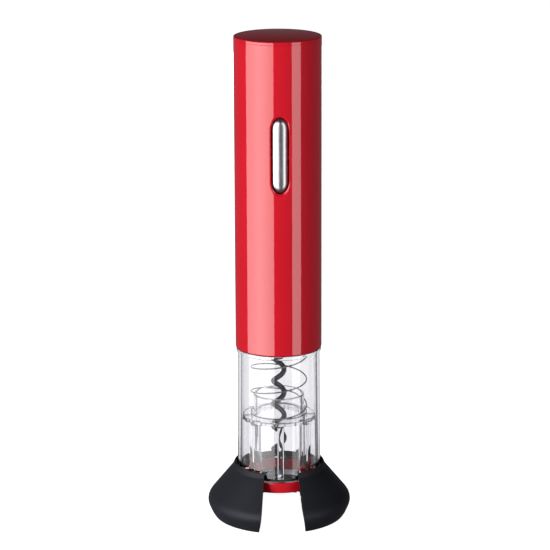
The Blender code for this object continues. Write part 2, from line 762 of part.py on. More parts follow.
def make_frame_half(name, side, opener):
    """Half of the inner chassis, with ribs that grip the gearbox and the motor."""
    low = bearing_plate_bottom
    top = holder_bottom - FIT - low
    thin = frame_bore
    gear_grip = ring_gear_radius + FIT
    motor_grip = MOTOR_RADIUS + FIT
    ribs = [
        (bearing_plate_top - low - 4.0, gear_grip),
        (gear_top - low - 6.0, gear_grip),
        (motor_bottom - low + 5.0, motor_grip),
        (motor_top - low - 6.0, motor_grip),
    ]
    corners = [(inner_radius, 0.0), (inner_radius, top), (thin, top)]
    for height, reach in reversed(ribs):
        corners += [(thin, height + 1.6), (reach, height + 1.6), (reach, height), (thin, height)]
    corners.append((thin, 0.0))
    start = -48.0 if side > 0 else 132.0
    return place(lathe(corners, 10, start=start, sweep=96.0), name, "grey_plastic", (0, 0, low), parent=opener)


def make_cap(opener):
    """The battery cap, with its contact strips under it."""
    cap = axis_at("battery_cap_axis", (0, 0, cap_underside), opener)
    skirt = inner_radius
    corners = [
        (0, -FIT),
        (skirt - 1.6, -FIT),
        (skirt - 1.6, -CAP_SKIRT),
        (skirt, -CAP_SKIRT),
        (skirt, FIT),
        (BODY_RADIUS, FIT),
        (BODY_RADIUS, CAP_PLATE, EDGE_FILLET),
        (0, CAP_PLATE),
    ]
    place(lathe(corners, FINE), "battery_cap", "red_gloss", parent=cap)
    for side, word in ((-1, "left"), (1, "right")):
        edges = sorted((side * (CELL_OFFSET - CONTACT_HALF), side * (CELL_OFFSET + CONTACT_HALF)))
        reach = CELL_OFFSET + CONTACT_HALF + 1.0
        strip = block((edges[0], -reach, -2 * FIT - CONTACT_THICKNESS), (edges[1], reach, -2 * FIT))
        place(strip, f"cap_contact_{word}", "brass", parent=cap)
    return cap


def make_batteries(opener):
    """Four cells in their holder, with the lower contacts."""
    nub = 1.2
    corners = [
        (0, 0),
        (CELL_RADIUS, 0),
        (CELL_RADIUS, CELL_LENGTH - nub),
        (2.75, CELL_LENGTH - nub),
        (2.75, CELL_LENGTH),
        (0, CELL_LENGTH),
    ]
    first = None
    places = [(-1, -1), (1, -1), (1, 1), (-1, 1)]
    for number, (sx, sy) in enumerate(places, 1):
        upright = number % 2 == 1
        at = (sx * CELL_OFFSET, sy * CELL_OFFSET, cell_bottom if upright else cell_top)
        turn = (0.0, 0.0, 0.0) if upright else (math.pi, 0.0, 0.0)
        if first is None:
            first = place(lathe(corners, COARSE), "battery_1", "cell_wrap", at, turn, opener)
        else:
            place_mesh(first.data, f"battery_{number}", at, turn, opener)
        if upright:
            base = cell_bottom - CONTACT_SPRING
            points = helix(3.2, CONTACT_SPRING * 0.45, base + 0.25, cell_bottom - FIT - 0.25, 8, base)
            name = f"contact_spring_{(number + 1) // 2}"
            wire(name, "steel", [(x, y, z - base) for x, y, z in points], 0.45, at=(at[0], at[1], base),
                 parent=opener)
    strip_top = cell_bottom - CONTACT_SPRING - FIT
    reach = CELL_OFFSET + CONTACT_HALF + 1.0
    low_corner = (-reach, CELL_OFFSET - CONTACT_HALF, -CONTACT_THICKNESS)
    strip = block(low_corner, (reach, CELL_OFFSET + CONTACT_HALF, 0.0))
    place(strip, "lower_contact", "brass", (0, 0, strip_top), parent=opener)


def make_holder(opener):
    """The disc under the cells and the cross-shaped spine between them."""
    radius = inner_radius
    holder = place(lathe([(0, 0), (radius, 0), (radius, HOLDER_DISC), (0, HOLDER_DISC)], MEDIUM),
                   "battery_holder", "black_plastic", (0, 0, holder_bottom), parent=opener)
    board_back = -board_front - BOARD_THICKNESS - FIT
    front = block((-BOARD_WIDTH / 2 - 1, -BODY_RADIUS, -2), (BOARD_WIDTH / 2 + 1, -board_back, 4))
    cut(holder, front)
    top = cell_top - 1.0 - holder_bottom
    half = HOLDER_SPINE / 2
    reach = CELL_OFFSET + CELL_RADIUS - 1.0
    notch = CELL_OFFSET - CONTACT_HALF - 1.0
    fuse(holder, block((-half, -reach, 1.0), (half, reach, top)))
    fuse(holder, block((-reach, -half, 1.0), (reach, half, top)))
    notch_top = HOLDER_DISC + CONTACT_THICKNESS + CONTACT_SPRING
    cut(holder, block((-half - 1, notch, HOLDER_DISC), (half + 1, reach + 2, notch_top)))
    return holder


# ---------------------------------------------------------------- button and switches
def make_button(opener):
    """The silver rocker, pivoting on a pin behind its middle, with its bracket, board and two switches."""
    pivot = axis_at("button_axis", (0, pivot_y, button_height), opener)
    back = body_bore - 0.6
    crown = prism([capsule(BUTTON_WIDTH, BUTTON_LENGTH)], back + pivot_y, button_face + pivot_y)
    top = [v for v in crown.verts if v.co.z > button_face + pivot_y - 0.01]
    for vert in top:
        vert.co.x *= 0.86
        vert.co.y *= 0.965
    shoulder = prism([capsule(BUTTON_WIDTH, BUTTON_LENGTH)], back + pivot_y + 0.01, button_face + pivot_y - 0.9)
    button = place(turned_to(crown, "-Y"), "button", "silver", parent=pivot)
    fuse(button, turned_to(shoulder, "-Y"))
    lug = rod(1.8, -3.4, 3.4, segments=COARSE)
    fuse(button, turned_to(lug, "X"))
    fuse(button, block((-3.3, -(back + pivot_y) - 0.8, -1.6), (3.3, 0.0, 1.6)))
    cut(button, turned_to(rod(PIVOT_PIN + RUNNING, -8, 8, segments=12), "X"))
    pin = turned_to(rod(PIVOT_PIN, -6.2, 6.2, segments=12), "X")
    place(pin, "button_pin", "steel", (0, pivot_y, button_height), parent=opener)
    make_bracket(opener)


def make_bracket(opener):
    """The ears that hold the button's pin, the board behind them and its two switches."""
    plate_front = pivot_y + 1.8 + FIT
    plate_back = board_front - FIT
    at = (0, 0, button_height)
    plate = block((-BRACKET_OUTER, plate_front, -3), (BRACKET_OUTER, plate_back, 3))
    bracket = place(plate, "button_bracket", "grey_plastic", at, parent=opener)
    for side in (-1, 1):
        edges = sorted((side * BRACKET_INNER, side * BRACKET_OUTER))
        fuse(bracket, block((edges[0], pivot_y - 1.4, -2.8), (edges[1], plate_back - 0.2, 2.8)))
    cut(bracket, turned_to(rod(PIVOT_PIN + 0.25, -9, 9, segments=12), "X"), (0, pivot_y, 0))
    half = BOARD_WIDTH / 2
    board = block((-half, board_front, -BOARD_LENGTH / 2), (half, board_front + BOARD_THICKNESS, BOARD_LENGTH / 2))
    place(board, "switch_board", "board_green", at, parent=opener)
    reach = SWITCH_SIZE / 2
    for sign, word in ((1, "up"), (-1, "down")):
        body = block((-reach, board_front - FIT - 2.4, -reach), (reach, board_front - FIT, reach))
        place_at = (0, 0, button_height + sign * SWITCH_SPACING / 2)
        switch = place(body, f"switch_{word}", "black_plastic", place_at, parent=opener)
        plunger = rod(1.7, -board_front + FIT + 2.0, -board_front + FIT + 3.2, segments=12)
        fuse(switch, turned_to(plunger, "-Y"))


# ---------------------------------------------------------------- drive
def make_motor(opener):
    """The motor, its front plate and screws, and its leads to the board."""
    can = [
        (MOTOR_RADIUS, 0.0, 1.0),
        (MOTOR_RADIUS, MOTOR_LENGTH),
        (MOTOR_RADIUS - MOTOR_CAN_WALL, MOTOR_LENGTH),
        (MOTOR_RADIUS - MOTOR_CAN_WALL, MOTOR_CAN_END),
        (3.4, MOTOR_CAN_END),
        (3.4, 0.0),
    ]
    place(lathe(can, MEDIUM), "motor_can", "steel", (0, 0, motor_bottom), parent=opener)
    end = [
        (0, -1.5),
        (MOTOR_RADIUS - MOTOR_CAN_WALL - FIT, -1.5),
        (MOTOR_RADIUS - MOTOR_CAN_WALL - FIT, FIT),
        (MOTOR_RADIUS - 0.4, FIT),
        (MOTOR_RADIUS - 0.4, MOTOR_CAP - 1.0),
        (4.0, MOTOR_CAP - 1.0),
        (4.0, MOTOR_CAP),
        (0, MOTOR_CAP),
    ]
    place(lathe(end, COARSE), "motor_end_cap", "black_plastic", (0, 0, motor_top), parent=opener)
    screw_places = [(0.0, -MOTOR_SCREW_ORBIT), (0.0, MOTOR_SCREW_ORBIT)]
    loops = [circle(frame_bore - FIT, MEDIUM), circle(sun_pitch + addendum + 1.0, COARSE)]
    loops += [circle(MOTOR_SCREW_RADIUS + FIT, 12, centre) for centre in screw_places]
    place(prism(loops, 0, MOTOR_PLATE), "motor_plate", "steel", (0, 0, motor_plate_bottom), parent=opener)
    screw_end = MOTOR_PLATE + 0.1
    screw = [
        (0, -1.1),
        (MOTOR_SCREW_HEAD, -1.1),
        (MOTOR_SCREW_HEAD, -FIT),
        (MOTOR_SCREW_RADIUS, -FIT),
        (MOTOR_SCREW_RADIUS, screw_end),
        (0, screw_end),
    ]
    for number, (x, y) in enumerate(screw_places, 1):
        place(lathe(screw, 12), f"motor_screw_{number}", "steel", (x, y, motor_plate_bottom), parent=opener)
    start = motor_top + MOTOR_CAP - 1.0 + LEAD_RADIUS + FIT
    for side, word in ((-1, "red"), (1, "black")):
        x = side * LEAD_SPACING / 2
        points = [
            (x, -6.5, start),
            (x, -9.5, start + 0.3),
            (x, -13.0, start),
            (x, -board_back_gap(), start - 2.4),
            (x, -board_back_gap(), start - 8.0),
            (x, -board_back_gap(), start - 12.0),
        ]
        wire(f"lead_{word}", f"lead_{word}", points, 2 * LEAD_RADIUS, parent=opener)


def board_back_gap():
    """How far in front of the axis a lead runs down the back of the board."""
    return -board_front - BOARD_THICKNESS - FIT - LEAD_RADIUS


def make_carrier(name, height, shaft, parent):
    """A planet carrier: its plate, three pins, and what it drives below."""
    plate = lathe([(0, 0), (carrier_radius, 0), (carrier_radius, CARRIER_THICKNESS), (0, CARRIER_THICKNESS)], 24)
    carrier = place(plate, name, "steel", (0, 0, height), parent=parent)
    for k in range(PLANETS):
        a = 2 * math.pi * k / PLANETS
        centre = (planet_orbit * math.cos(a), planet_orbit * math.sin(a))
        pin_top = CARRIER_THICKNESS + LOOSE + PLANET_WIDTH
        fuse(carrier, rod(PLANET_PIN, 1.0, pin_top, centre, segments=10))
    fuse(carrier, shaft)
    return carrier


def make_planets(height, first_number, parent):
    """Three planets; each has a gap facing the sun's tooth."""
    for k in range(PLANETS):
        a = 2 * math.pi * k / PLANETS
        teeth = gear_loop(PLANET_TEETH, planet_pitch + addendum, planet_pitch - dedendum,
                          a + math.pi / PLANET_TEETH)
        loops = [teeth, circle(PLANET_PIN + RUNNING, 10)]
        at = (planet_orbit * math.cos(a), planet_orbit * math.sin(a), height)
        place(prism(loops, 0, PLANET_WIDTH), f"planet_gear_{first_number + k}", "gear_plastic", at, parent=parent)


def make_gearbox(opener):
    """Two planetary stages inside one ring gear, and the bearing of the output shaft."""
    sun = gear_loop(SUN_TEETH, sun_pitch + addendum, sun_pitch - dedendum)
    rotor = axis_at("rotor_axis", (0, 0, motor_bottom), opener)
    low = carrier_1_top + LOOSE - motor_bottom
    high = gear_top - motor_bottom
    pinion = place(prism([sun], low, high), "motor_shaft", "steel", parent=rotor)
    fuse(pinion, rod(MOTOR_SHAFT, high - 3.0, MOTOR_LENGTH - 2.5, segments=12))

    loops = [circle(ring_gear_radius, FINE), gear_loop(RING_TEETH, ring_pitch - addendum, ring_pitch + dedendum)]
    place(prism(loops, 0, gear_top - gear_bottom), "ring_gear", "gear_plastic", (0, 0, gear_bottom), parent=opener)

    stage_1 = axis_at("carrier_1_axis", (0, 0, carrier_1_top - CARRIER_THICKNESS), opener)
    drop = carrier_2_top + LOOSE - (carrier_1_top - CARRIER_THICKNESS)
    make_carrier("planet_carrier_1", 0.0, prism([sun], drop, 1.0), stage_1)
    make_planets(LOOSE + CARRIER_THICKNESS, 1, stage_1)

    stage_2 = axis_at("worm_axis", (0, 0, carrier_2_bottom), opener)
    shaft = rod(SHAFT_RADIUS, shaft_bottom - carrier_2_bottom, 1.0, segments=20)
    make_carrier("output_carrier", 0.0, shaft, stage_2)
    make_planets(LOOSE + CARRIER_THICKNESS, 4, stage_2)

    bearing = [
        (BEARING_RADIUS, 0.4),
        (BEARING_RADIUS, BEARING_WIDTH - 0.4),
        (SHAFT_RADIUS + RUNNING, BEARING_WIDTH - 0.4),
        (SHAFT_RADIUS + RUNNING, 0.4),
    ]
    place(lathe(bearing, COARSE), "output_bearing", "steel", (0, 0, bearing_plate_bottom), parent=opener)
    plate = [
        (ring_gear_radius, 0.0),
        (ring_gear_radius, BEARING_WIDTH),
        (BEARING_RADIUS + FIT, BEARING_WIDTH),
        (BEARING_RADIUS + FIT, 0.0),
    ]
    place(lathe(plate, MEDIUM), "bearing_plate", "steel", (0, 0, bearing_plate_bottom), parent=opener)
    make_worm(stage_2)


def make_worm(stage):
    """The hub on the output shaft, and the worm held in its lower end."""
    half = HUB_LENGTH / 2
    bore = WORM_WIRE / 2 + FIT
    corners = [
        (bore, 0.0),
        (HUB_RADIUS, 0.0, 1.5),
        (HUB_RADIUS, HUB_LENGTH),
        (SHAFT_RADIUS + FIT, HUB_LENGTH),
        (SHAFT_RADIUS + FIT, half),
        (bore, half),
    ]
    offset = carrier_2_bottom
    place(lathe(corners, COARSE), "worm_hub", "steel", (0, 0, hub_bottom - offset), parent=stage)
    centre_radius = WORM_RADIUS - WORM_WIRE / 2
    taper = WORM_PITCH
    points = helix(centre_radius, WORM_PITCH, WORM_TIP, worm_top, 14, WORM_PHASE_HEIGHT)
    radii = [min(1.0, 0.08 + 0.92 * (z - WORM_TIP) / taper) for _, _, z in points]
    x, y, _ = points[-1]
    for share in (0.62, 0.25, 0.0):
        points.append((x * share, y * share, worm_top + WORM_WIRE * (1.3 - share)))
        radii.append(1.0)
    points.append((0.0, 0.0, hub_bottom + SHANK_LENGTH))
    radii.append(1.0)
    lowered = [(px, py, pz - offset) for px, py, pz in points]
    wire("worm", "worm_coating", lowered, WORM_WIRE, radii, parent=stage)


def main():
    clear_scene()
    bridge = make_cutter()
    opener = axis_at("opener", (0.0, 0.0, 0.0), bridge)
    make_housing(opener)
    make_sleeve(opener)
    make_end_ring(opener)
    make_guide(opener)
    make_chamber_frame(opener)
    make_frame_half("frame_left", -1, opener)
    make_frame_half("frame_right", 1, opener)
    make_cap(opener)
    make_batteries(opener)
    make_holder(opener)
    make_button(opener)
    make_motor(opener)
    make_gearbox(opener)


main()
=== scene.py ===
"""Looks of the electric wine opener: finished pieces over the frame, their materials, and a white studio.

The opener stands upright in its foil cutter. The pieces are turned or swept at the frame's own sizes,
in millimetres, and are turned into metres where each mesh is made.
"""

import json
import math

import bmesh
import bpy
from mathutils import Matrix, Vector


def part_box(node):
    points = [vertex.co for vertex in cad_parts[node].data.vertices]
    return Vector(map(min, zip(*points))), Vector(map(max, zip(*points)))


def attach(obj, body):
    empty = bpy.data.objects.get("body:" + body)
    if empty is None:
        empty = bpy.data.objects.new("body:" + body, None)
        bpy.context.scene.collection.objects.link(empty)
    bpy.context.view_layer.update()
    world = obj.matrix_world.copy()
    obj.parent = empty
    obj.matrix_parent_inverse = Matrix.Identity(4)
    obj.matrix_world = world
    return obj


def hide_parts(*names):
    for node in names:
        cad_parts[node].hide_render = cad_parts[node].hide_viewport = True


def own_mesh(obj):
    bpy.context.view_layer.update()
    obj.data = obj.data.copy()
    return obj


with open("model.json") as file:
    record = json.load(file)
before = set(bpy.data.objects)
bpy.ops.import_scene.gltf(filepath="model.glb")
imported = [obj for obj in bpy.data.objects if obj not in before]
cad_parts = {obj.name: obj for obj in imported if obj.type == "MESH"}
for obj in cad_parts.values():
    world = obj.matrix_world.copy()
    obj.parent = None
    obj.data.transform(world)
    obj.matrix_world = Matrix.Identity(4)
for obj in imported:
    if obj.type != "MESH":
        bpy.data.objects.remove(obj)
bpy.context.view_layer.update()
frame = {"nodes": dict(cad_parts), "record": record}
MM = 0.001


def span(node, axis):
    """Lowest and highest place of a node along one axis, in millimetres."""
    low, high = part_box(node)
    return low[axis] / MM, high[axis] / MM


# ---------------------------------------------------------------- sizes taken from the frame
BODY_RADIUS = span("housing_tube", 0)[1]
BODY_LOW, BODY_HIGH = span("housing_tube", 2)
CAP_SKIRT_LOW, CAP_TOP = span("battery_cap", 2)
RING_RADIUS = span("end_ring", 0)[1]
RING_LOW, RING_HIGH = span("end_ring", 2)
SLEEVE_LOW, SLEEVE_HIGH = span("clear_sleeve", 2)
GUIDE_RADIUS = span("cork_guide", 0)[1]
GUIDE_LOW, GUIDE_HIGH = span("cork_guide", 2)
SPRING_LOW, SPRING_HIGH = span("guide_spring", 2)
SPRING_OUTER = span("guide_spring", 0)[1]
WORM_LOW = span("worm", 2)[0]
HUB_LOW = span("worm_hub", 2)[0]
BUTTON_WIDTH = 2 * span("button", 0)[1]
BUTTON_LOW, BUTTON_HIGH = span("button", 2)
BUTTON_FRONT = span("button", 1)[0]
CUTTER_RIM = span("left_jaw", 2)[1]
BRIDGE_RIM = span("cutter_bridge", 2)[1]

# ---------------------------------------------------------------- sizes of the finished pieces
BODY_BORE = 22.8
BODY_FILLET = 0.6
BODY_RIM = 0.05
SPIGOT_RADIUS = 22.35
SPIGOT_WALL = 1.8
CAP_SEAM = 0.06
CAP_FILLET = 0.5
CAP_PLATE = 0.6
CAP_WALL = 1.6
RECESS_DEPTH = 0.78
RECESS_WIDTH = 12.2
RECESS_LENGTH = 46.4
RECESS_EDGE = 1.0
LOOP_END = 0.75
BUTTON_GAP = 0.42
BUTTON_CROWN = 3.0
BUTTON_DEPTH = 3.2
POINTER_TIP = 14.2
POINTER_BASE = 11.6
POINTER_HALF = 1.0
POINTER_NOTCH = 0.7
PIVOT_Y = -20.3
PIVOT_RADIUS = 1.7
PIVOT_HALF = 3.3
SLEEVE_BORE = 22.2
SLEEVE_FLANGE = 2.3
SLEEVE_LIP = 1.9
SLEEVE_LIP_OUT = 0.75
SLEEVE_GAP = 0.3
SLEEVE_DRAFT = 0.65
RIB_COUNT = 8
RIB_WIDTH = 3.7
RIB_TIP = 16.0
RIB_ROOT = SLEEVE_BORE + 0.9
RIB_CHAMFER = 1.5
RIB_LOW = 1.6
RIB_HIGH = 32.6
RING_BORE = 21.4
GUIDE_BORE = 13.0
GUIDE_COLLAR = 14.7
GUIDE_FLANGE = 2.2
GUIDE_NOTCHES = 24
GUIDE_NOTCH_DEPTH = 0.7
SPRING_WIRE = 0.8
SPRING_PITCH = 14.7
SPRING_PHASE = 67.9
SPRING_STEPS = 56
WORM_WIRE = 3.0
WORM_COIL = 3.1
WORM_PITCH = 13.95
WORM_PHASE = 32.35
WORM_STEPS = 44
SHANK = 6.0
CUTTER_FOOT = 37.9
FOOT_LIP = 1.6
FOOT_LIP_HEIGHT = 2.4
CUTTER_RADIUS = 42.9
CUTTER_WIDEST = 10.0
CUTTER_ROUND = 7.0
CUTTER_SKIN = 2.0
SOCKET_RADIUS = 25.2
RIM_RADIUS = 26.2
NECK_FOOT = 29.2
NECK_FLARE = 1.15
LEDGE_TOP = 19.4
LEDGE_THICK = 2.0
LEDGE_BORE = 21.5
SHELF_BORE = 16.5
SHELVES = (5.8, 7.8, 10.2, 12.2)
SLOT_AT_TABLE = 13.4
SLOT_AT_RIM = 9.6
BACK_SLOT = 13.0
JAW_GAP = 0.8
JAW_PLAY = 0.3
BRIDGE_INSET = 1.9
HINGE_X = 15.0
HINGE_Y = 29.5
HINGE_BORE = 1.8
KNUCKLE_RADIUS = 3.0
KNUCKLE_LOW = 4.9
KNUCKLE_HIGH = 8.9
KNUCKLE_ROOM = 12.5
LUG_LOW = 2.6
LUG_HIGH = 11.2
AXLE_BORE = 1.25
EDGE_ROUND = 0.25

# ---------------------------------------------------------------- fineness of the meshes and bumps
BUMP_HEIGHT = 0.1
ROUND = 160
ARC_STEP = 12
SUPPORT = 0.2
CUT_MARGIN = 5.0

# ---------------------------------------------------------------- studio sizes, in metres and degrees
WALL_RADIUS = 2.2
WALL_TOP = 2.6
CARD_RADIUS = 1.3
CARD_LOW = -0.41
CARD_HIGH = 0.75
FLOOR_HALF = 4.0
FLOOR_Z = -0.0002
CLEAR_FLOOR_Z = -0.0004
CLEAR_SECTORS = (("behind", 140.0, 220.0), ("around", 242.0, 478.0))


# ---------------------------------------------------------------- materials
def procedural(name, shades, grain, roughness, bump=0.0, **sockets):
    """A Principled material whose colour and roughness drift with noise, over a fine bump.

    shades are its darker and lighter colours, grain the noise scales of the drift and of the bump,
    and roughness its lowest and highest values.
    """
    made = bpy.data.materials.new(name)
    made.use_nodes = True
    nodes = made.node_tree.nodes
    link = made.node_tree.links.new
    shader = nodes["Principled BSDF"]
    place = nodes.new("ShaderNodeTexCoord")
    drift = nodes.new("ShaderNodeTexNoise")
    drift.inputs["Scale"].default_value = grain[0]
    drift.inputs["Detail"].default_value = 3.0
    link(place.outputs["Object"], drift.inputs["Vector"])
    colours = nodes.new("ShaderNodeValToRGB")
    for stop, shade, at in zip(colours.color_ramp.elements, shades, (0.3, 0.7)):
        stop.position = at
        stop.color = (*shade, 1.0)
    link(drift.outputs["Fac"], colours.inputs["Fac"])
    link(colours.outputs["Color"], shader.inputs["Base Color"])
    spread = nodes.new("ShaderNodeMapRange")
    spread.inputs["From Min"].default_value = 0.3
    spread.inputs["From Max"].default_value = 0.7
    spread.inputs["To Min"].default_value = roughness[0]
    spread.inputs["To Max"].default_value = roughness[1]
    link(drift.outputs["Fac"], spread.inputs["Value"])
    link(spread.outputs["Result"], shader.inputs["Roughness"])
    if bump:
        fine = nodes.new("ShaderNodeTexNoise")
        fine.inputs["Scale"].default_value = grain[1]
        fine.inputs["Detail"].default_value = 4.0
        link(place.outputs["Object"], fine.inputs["Vector"])
        raised = nodes.new("ShaderNodeBump")
        raised.inputs["Strength"].default_value = bump
        raised.inputs["Distance"].default_value = BUMP_HEIGHT * MM
        link(fine.outputs["Fac"], raised.inputs["Height"])
        link(raised.outputs["Normal"], shader.inputs["Normal"])
    for socket, value in sockets.items():
        shader.inputs[socket.replace("_", " ")].default_value = value
    return made


def make_finishes():
    """One material for each of the record's slots."""
    return {
        "red_gloss": procedural(
            "red_gloss", ((0.63, 0.006, 0.018), (0.66, 0.008, 0.021)), (18, 900), (0.035, 0.06), 0.012,
            IOR=1.5,
        ),
        "clear_plastic": procedural(
            "clear_plastic", ((0.97, 0.97, 0.985), (0.985, 0.985, 0.99)), (30, 600), (0.0, 0.015),
            Transmission_Weight=1.0, IOR=1.46,
        ),
        "black_plastic": procedural(
            "black_plastic", ((0.0145, 0.015, 0.019), (0.0165, 0.0172, 0.0215)), (60, 2600), (0.46, 0.52),
            bump=0.1, Specular_IOR_Level=0.12,
        ),
        "grey_plastic": procedural(
            "grey_plastic", ((0.34, 0.35, 0.37), (0.4, 0.41, 0.43)), (80, 2200), (0.45, 0.55), 0.1
        ),
        "silver": procedural(
            "silver", ((0.33, 0.33, 0.345), (0.36, 0.36, 0.375)), (120, 1800), (0.3, 0.34),
            Metallic=1.0, Coat_Weight=0.4,
        ),
        "steel": procedural(
            "steel", ((0.15, 0.15, 0.165), (0.21, 0.21, 0.23)), (160, 2400), (0.25, 0.35), 0.03,
            Metallic=1.0,
        ),
        "worm_coating": procedural(
            "worm_coating", ((0.008, 0.0105, 0.018), (0.015, 0.0185, 0.03)), (300, 3000), (0.16, 0.26), 0.05,
            Metallic=0.15,
        ),
        "brass": procedural(
            "brass", ((0.66, 0.46, 0.2), (0.78, 0.58, 0.28)), (200, 2400), (0.25, 0.38), 0.03,
            Metallic=1.0,
        ),
        "board_green": procedural(
            "board_green", ((0.02, 0.17, 0.06), (0.03, 0.24, 0.09)), (150, 2000), (0.35, 0.5), 0.05
        ),
        "cell_wrap": procedural(
            "cell_wrap", ((0.06, 0.07, 0.1), (0.09, 0.1, 0.14)), (90, 1500), (0.28, 0.38), 0.02,
            Metallic=0.2,
        ),
        "gear_plastic": procedural(
            "gear_plastic", ((0.78, 0.77, 0.7), (0.88, 0.87, 0.8)), (120, 2200), (0.4, 0.5), 0.05
        ),
        "lead_red": procedural(
            "lead_red", ((0.5, 0.02, 0.02), (0.62, 0.04, 0.04)), (200, 2400), (0.45, 0.55), 0.05
        ),
        "lead_black": procedural(
            "lead_black", ((0.02, 0.02, 0.02), (0.04, 0.04, 0.04)), (200, 2400), (0.45, 0.55), 0.05
        ),
    }


def tint_inside(material, colour, density):
    """Absorbs light along its way through the piece, so thick edges look deeper than thin walls."""
    nodes = material.node_tree.nodes
    absorbing = nodes.new("ShaderNodeVolumeAbsorption")
    absorbing.inputs["Color"].default_value = (*colour, 1.0)
    absorbing.inputs["Density"].default_value = density
    material.node_tree.links.new(absorbing.outputs["Volume"], nodes["Material Output"].inputs["Volume"])


FINISH = make_finishes()
tint_inside(FINISH["clear_plastic"], (0.5, 0.48, 0.62), 20.0)


def dress_frame():
    """Gives every node of the frame the finish of its slot."""
    for part in frame["record"]["subparts"]:
        node = frame["nodes"].get(part["node"])
        if node is None:
            continue
        node.data.materials.clear()
        node.data.materials.append(FINISH[part["material_slot"]])


# ---------------------------------------------------------------- modelling helpers
def supported(points):
    """The closed outline with a point close to each end of its long straight runs, so they shade flat."""
    kept = []
    for here, after in zip(points, points[1:] + points[:1]):
        kept.append(here)
        run = after - here
        if run.length > 3 * SUPPORT and here.x > 0 and after.x > 0:
            kept.append(here + run.normalized() * SUPPORT)
            kept.append(after - run.normalized() * SUPPORT)
    return kept


def rounded(corners):
    """A closed outline from (r, z) corners; a third value rounds that corner."""
    points = []
    for i, corner in enumerate(corners):
        if len(corner) == 2:
            points.append(Vector(corner))
            continue
        here = Vector(corner[:2])
        before = Vector(corners[i - 1][:2]) - here
        after = Vector(corners[(i + 1) % len(corners)][:2]) - here
        half = before.angle(after) / 2
        reach = min(corner[2] / math.tan(half), 0.49 * before.length, 0.49 * after.length)
        radius = reach * math.tan(half)
        centre = here + (before.normalized() + after.normalized()).normalized() * radius / math.sin(half)
        first = here + before.normalized() * reach - centre
        last = here + after.normalized() * reach - centre
        turn = first.angle_signed(last)
        steps = max(2, round(abs(math.degrees(turn)) / ARC_STEP))
        for k in range(steps + 1):
            points.append(centre + Matrix.Rotation(-turn * k / steps, 2) @ first)
    return [(p.x, p.y) for p in supported(points)]


def skin(bm, rows, closed_rows=True, closed_columns=True):
    """Quads between neighbouring rows of vertices; a row of one vertex is a pole."""
    pairs = list(zip(rows, rows[1:]))
    if closed_rows:
        pairs.append((rows[-1], rows[0]))
    for a, b in pairs:
        count = max(len(a), len(b))
        for i in range(count if closed_columns else count - 1):
            j = (i + 1) % count
            corners = [a[i % len(a)], a[j % len(a)], b[j % len(b)], b[i % len(b)]]
            corners = list(dict.fromkeys(corners))
            if len(corners) > 2:
                bm.faces.new(corners)


def turned(corners, segments=ROUND):
    """The outline turned about Z; an outline that starts and ends at r = 0 closes there."""
    bm = bmesh.new()
    rows = []
    for r, z in rounded(corners):
        count = 1 if r == 0 else segments
        angles = [2 * math.pi * k / segments for k in range(count)]
        rows.append([bm.verts.new((r * math.cos(a), r * math.sin(a), z)) for a in angles])
    skin(bm, rows, closed_rows=len(rows[0]) > 1)
    return bm


def capsule(width, length, steps=24):
    """A long loop in (x, z) with elliptic ends, each LOOP_END times as long as the loop is wide."""
    along = LOOP_END * width
    straight = length / 2 - along
    points = []
    for sign in (1, -1):
        for k in range(steps + 1):
            a = math.pi * k / steps
            points.append((sign * width / 2 * math.cos(a), sign * (straight + along * math.sin(a))))
    return points


def tube(points, radii, sides=20):
    """A round wire along points, its ends closed."""
    bm = bmesh.new()
    places = [Vector(p) for p in points]
    rows = []
    normal = Vector((1, 0, 0))
    for i, here in enumerate(places):
        along = (places[min(i + 1, len(places) - 1)] - places[max(i - 1, 0)]).normalized()
        normal = (normal - along * normal.dot(along)).normalized()
        side = along.cross(normal)
        ring = []
        for k in range(sides):
            a = 2 * math.pi * k / sides
            ring.append(bm.verts.new(here + (normal * math.cos(a) + side * math.sin(a)) * radii[i]))
        rows.append(ring)
    rows.insert(0, [bm.verts.new(places[0])])
    rows.append([bm.verts.new(places[-1])])
    skin(bm, rows, closed_rows=False)
    return bm


def solid(bm, name, finish, sharp=35.0):
    """An object made from the mesh, in metres, with its material."""
    bmesh.ops.remove_doubles(bm, verts=bm.verts, dist=1e-5)
    bmesh.ops.recalc_face_normals(bm, faces=bm.faces)
    mesh = bpy.data.meshes.new(name)
    bm.to_mesh(mesh)
    bm.free()
    mesh.transform(Matrix.Scale(MM, 4))
    mesh.materials.append(FINISH[finish])
    mesh.shade_smooth()
    mesh.set_sharp_from_angle(angle=math.radians(sharp))
    obj = bpy.data.objects.new(name, mesh)
    bpy.context.scene.collection.objects.link(obj)
    return obj


def settle(obj, body, finish, *nodes):
    """Puts the piece on its body in place of the nodes it stands for."""
    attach(obj, body)
    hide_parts(*nodes)
    return obj


def combined(obj, helper, operation):
    """Applies a Boolean with a helper, which is then removed."""
    modifier = obj.modifiers.new(operation, "BOOLEAN")
    modifier.operation = operation
    modifier.solver = "MANIFOLD"
    modifier.object = helper
    graph = bpy.context.evaluated_depsgraph_get()
    made = bpy.data.meshes.new_from_object(obj.evaluated_get(graph))
    obj.modifiers.clear()
    old = obj.data
    obj.data = made
    bpy.data.meshes.remove(old)
    bpy.data.objects.remove(helper)
    obj.data.shade_smooth()
    obj.data.set_sharp_from_angle(angle=math.radians(35.0))
    return obj


# ---------------------------------------------------------------- handle
def inside_capsule(x, z, width, length):
    """How far a point lies inside a capsule's edge; negative outside."""
    across, along = width / 2, LOOP_END * width
    straight = length / 2 - along
    if abs(z) <= straight:
        return across - abs(x)
    dz = abs(z) - straight
    q = math.hypot(x / across, dz / along)
    if q < 1e-6:
        return across
    slope = math.hypot(x / across**2, dz / along**2) / q
    return (1 - q) / slope


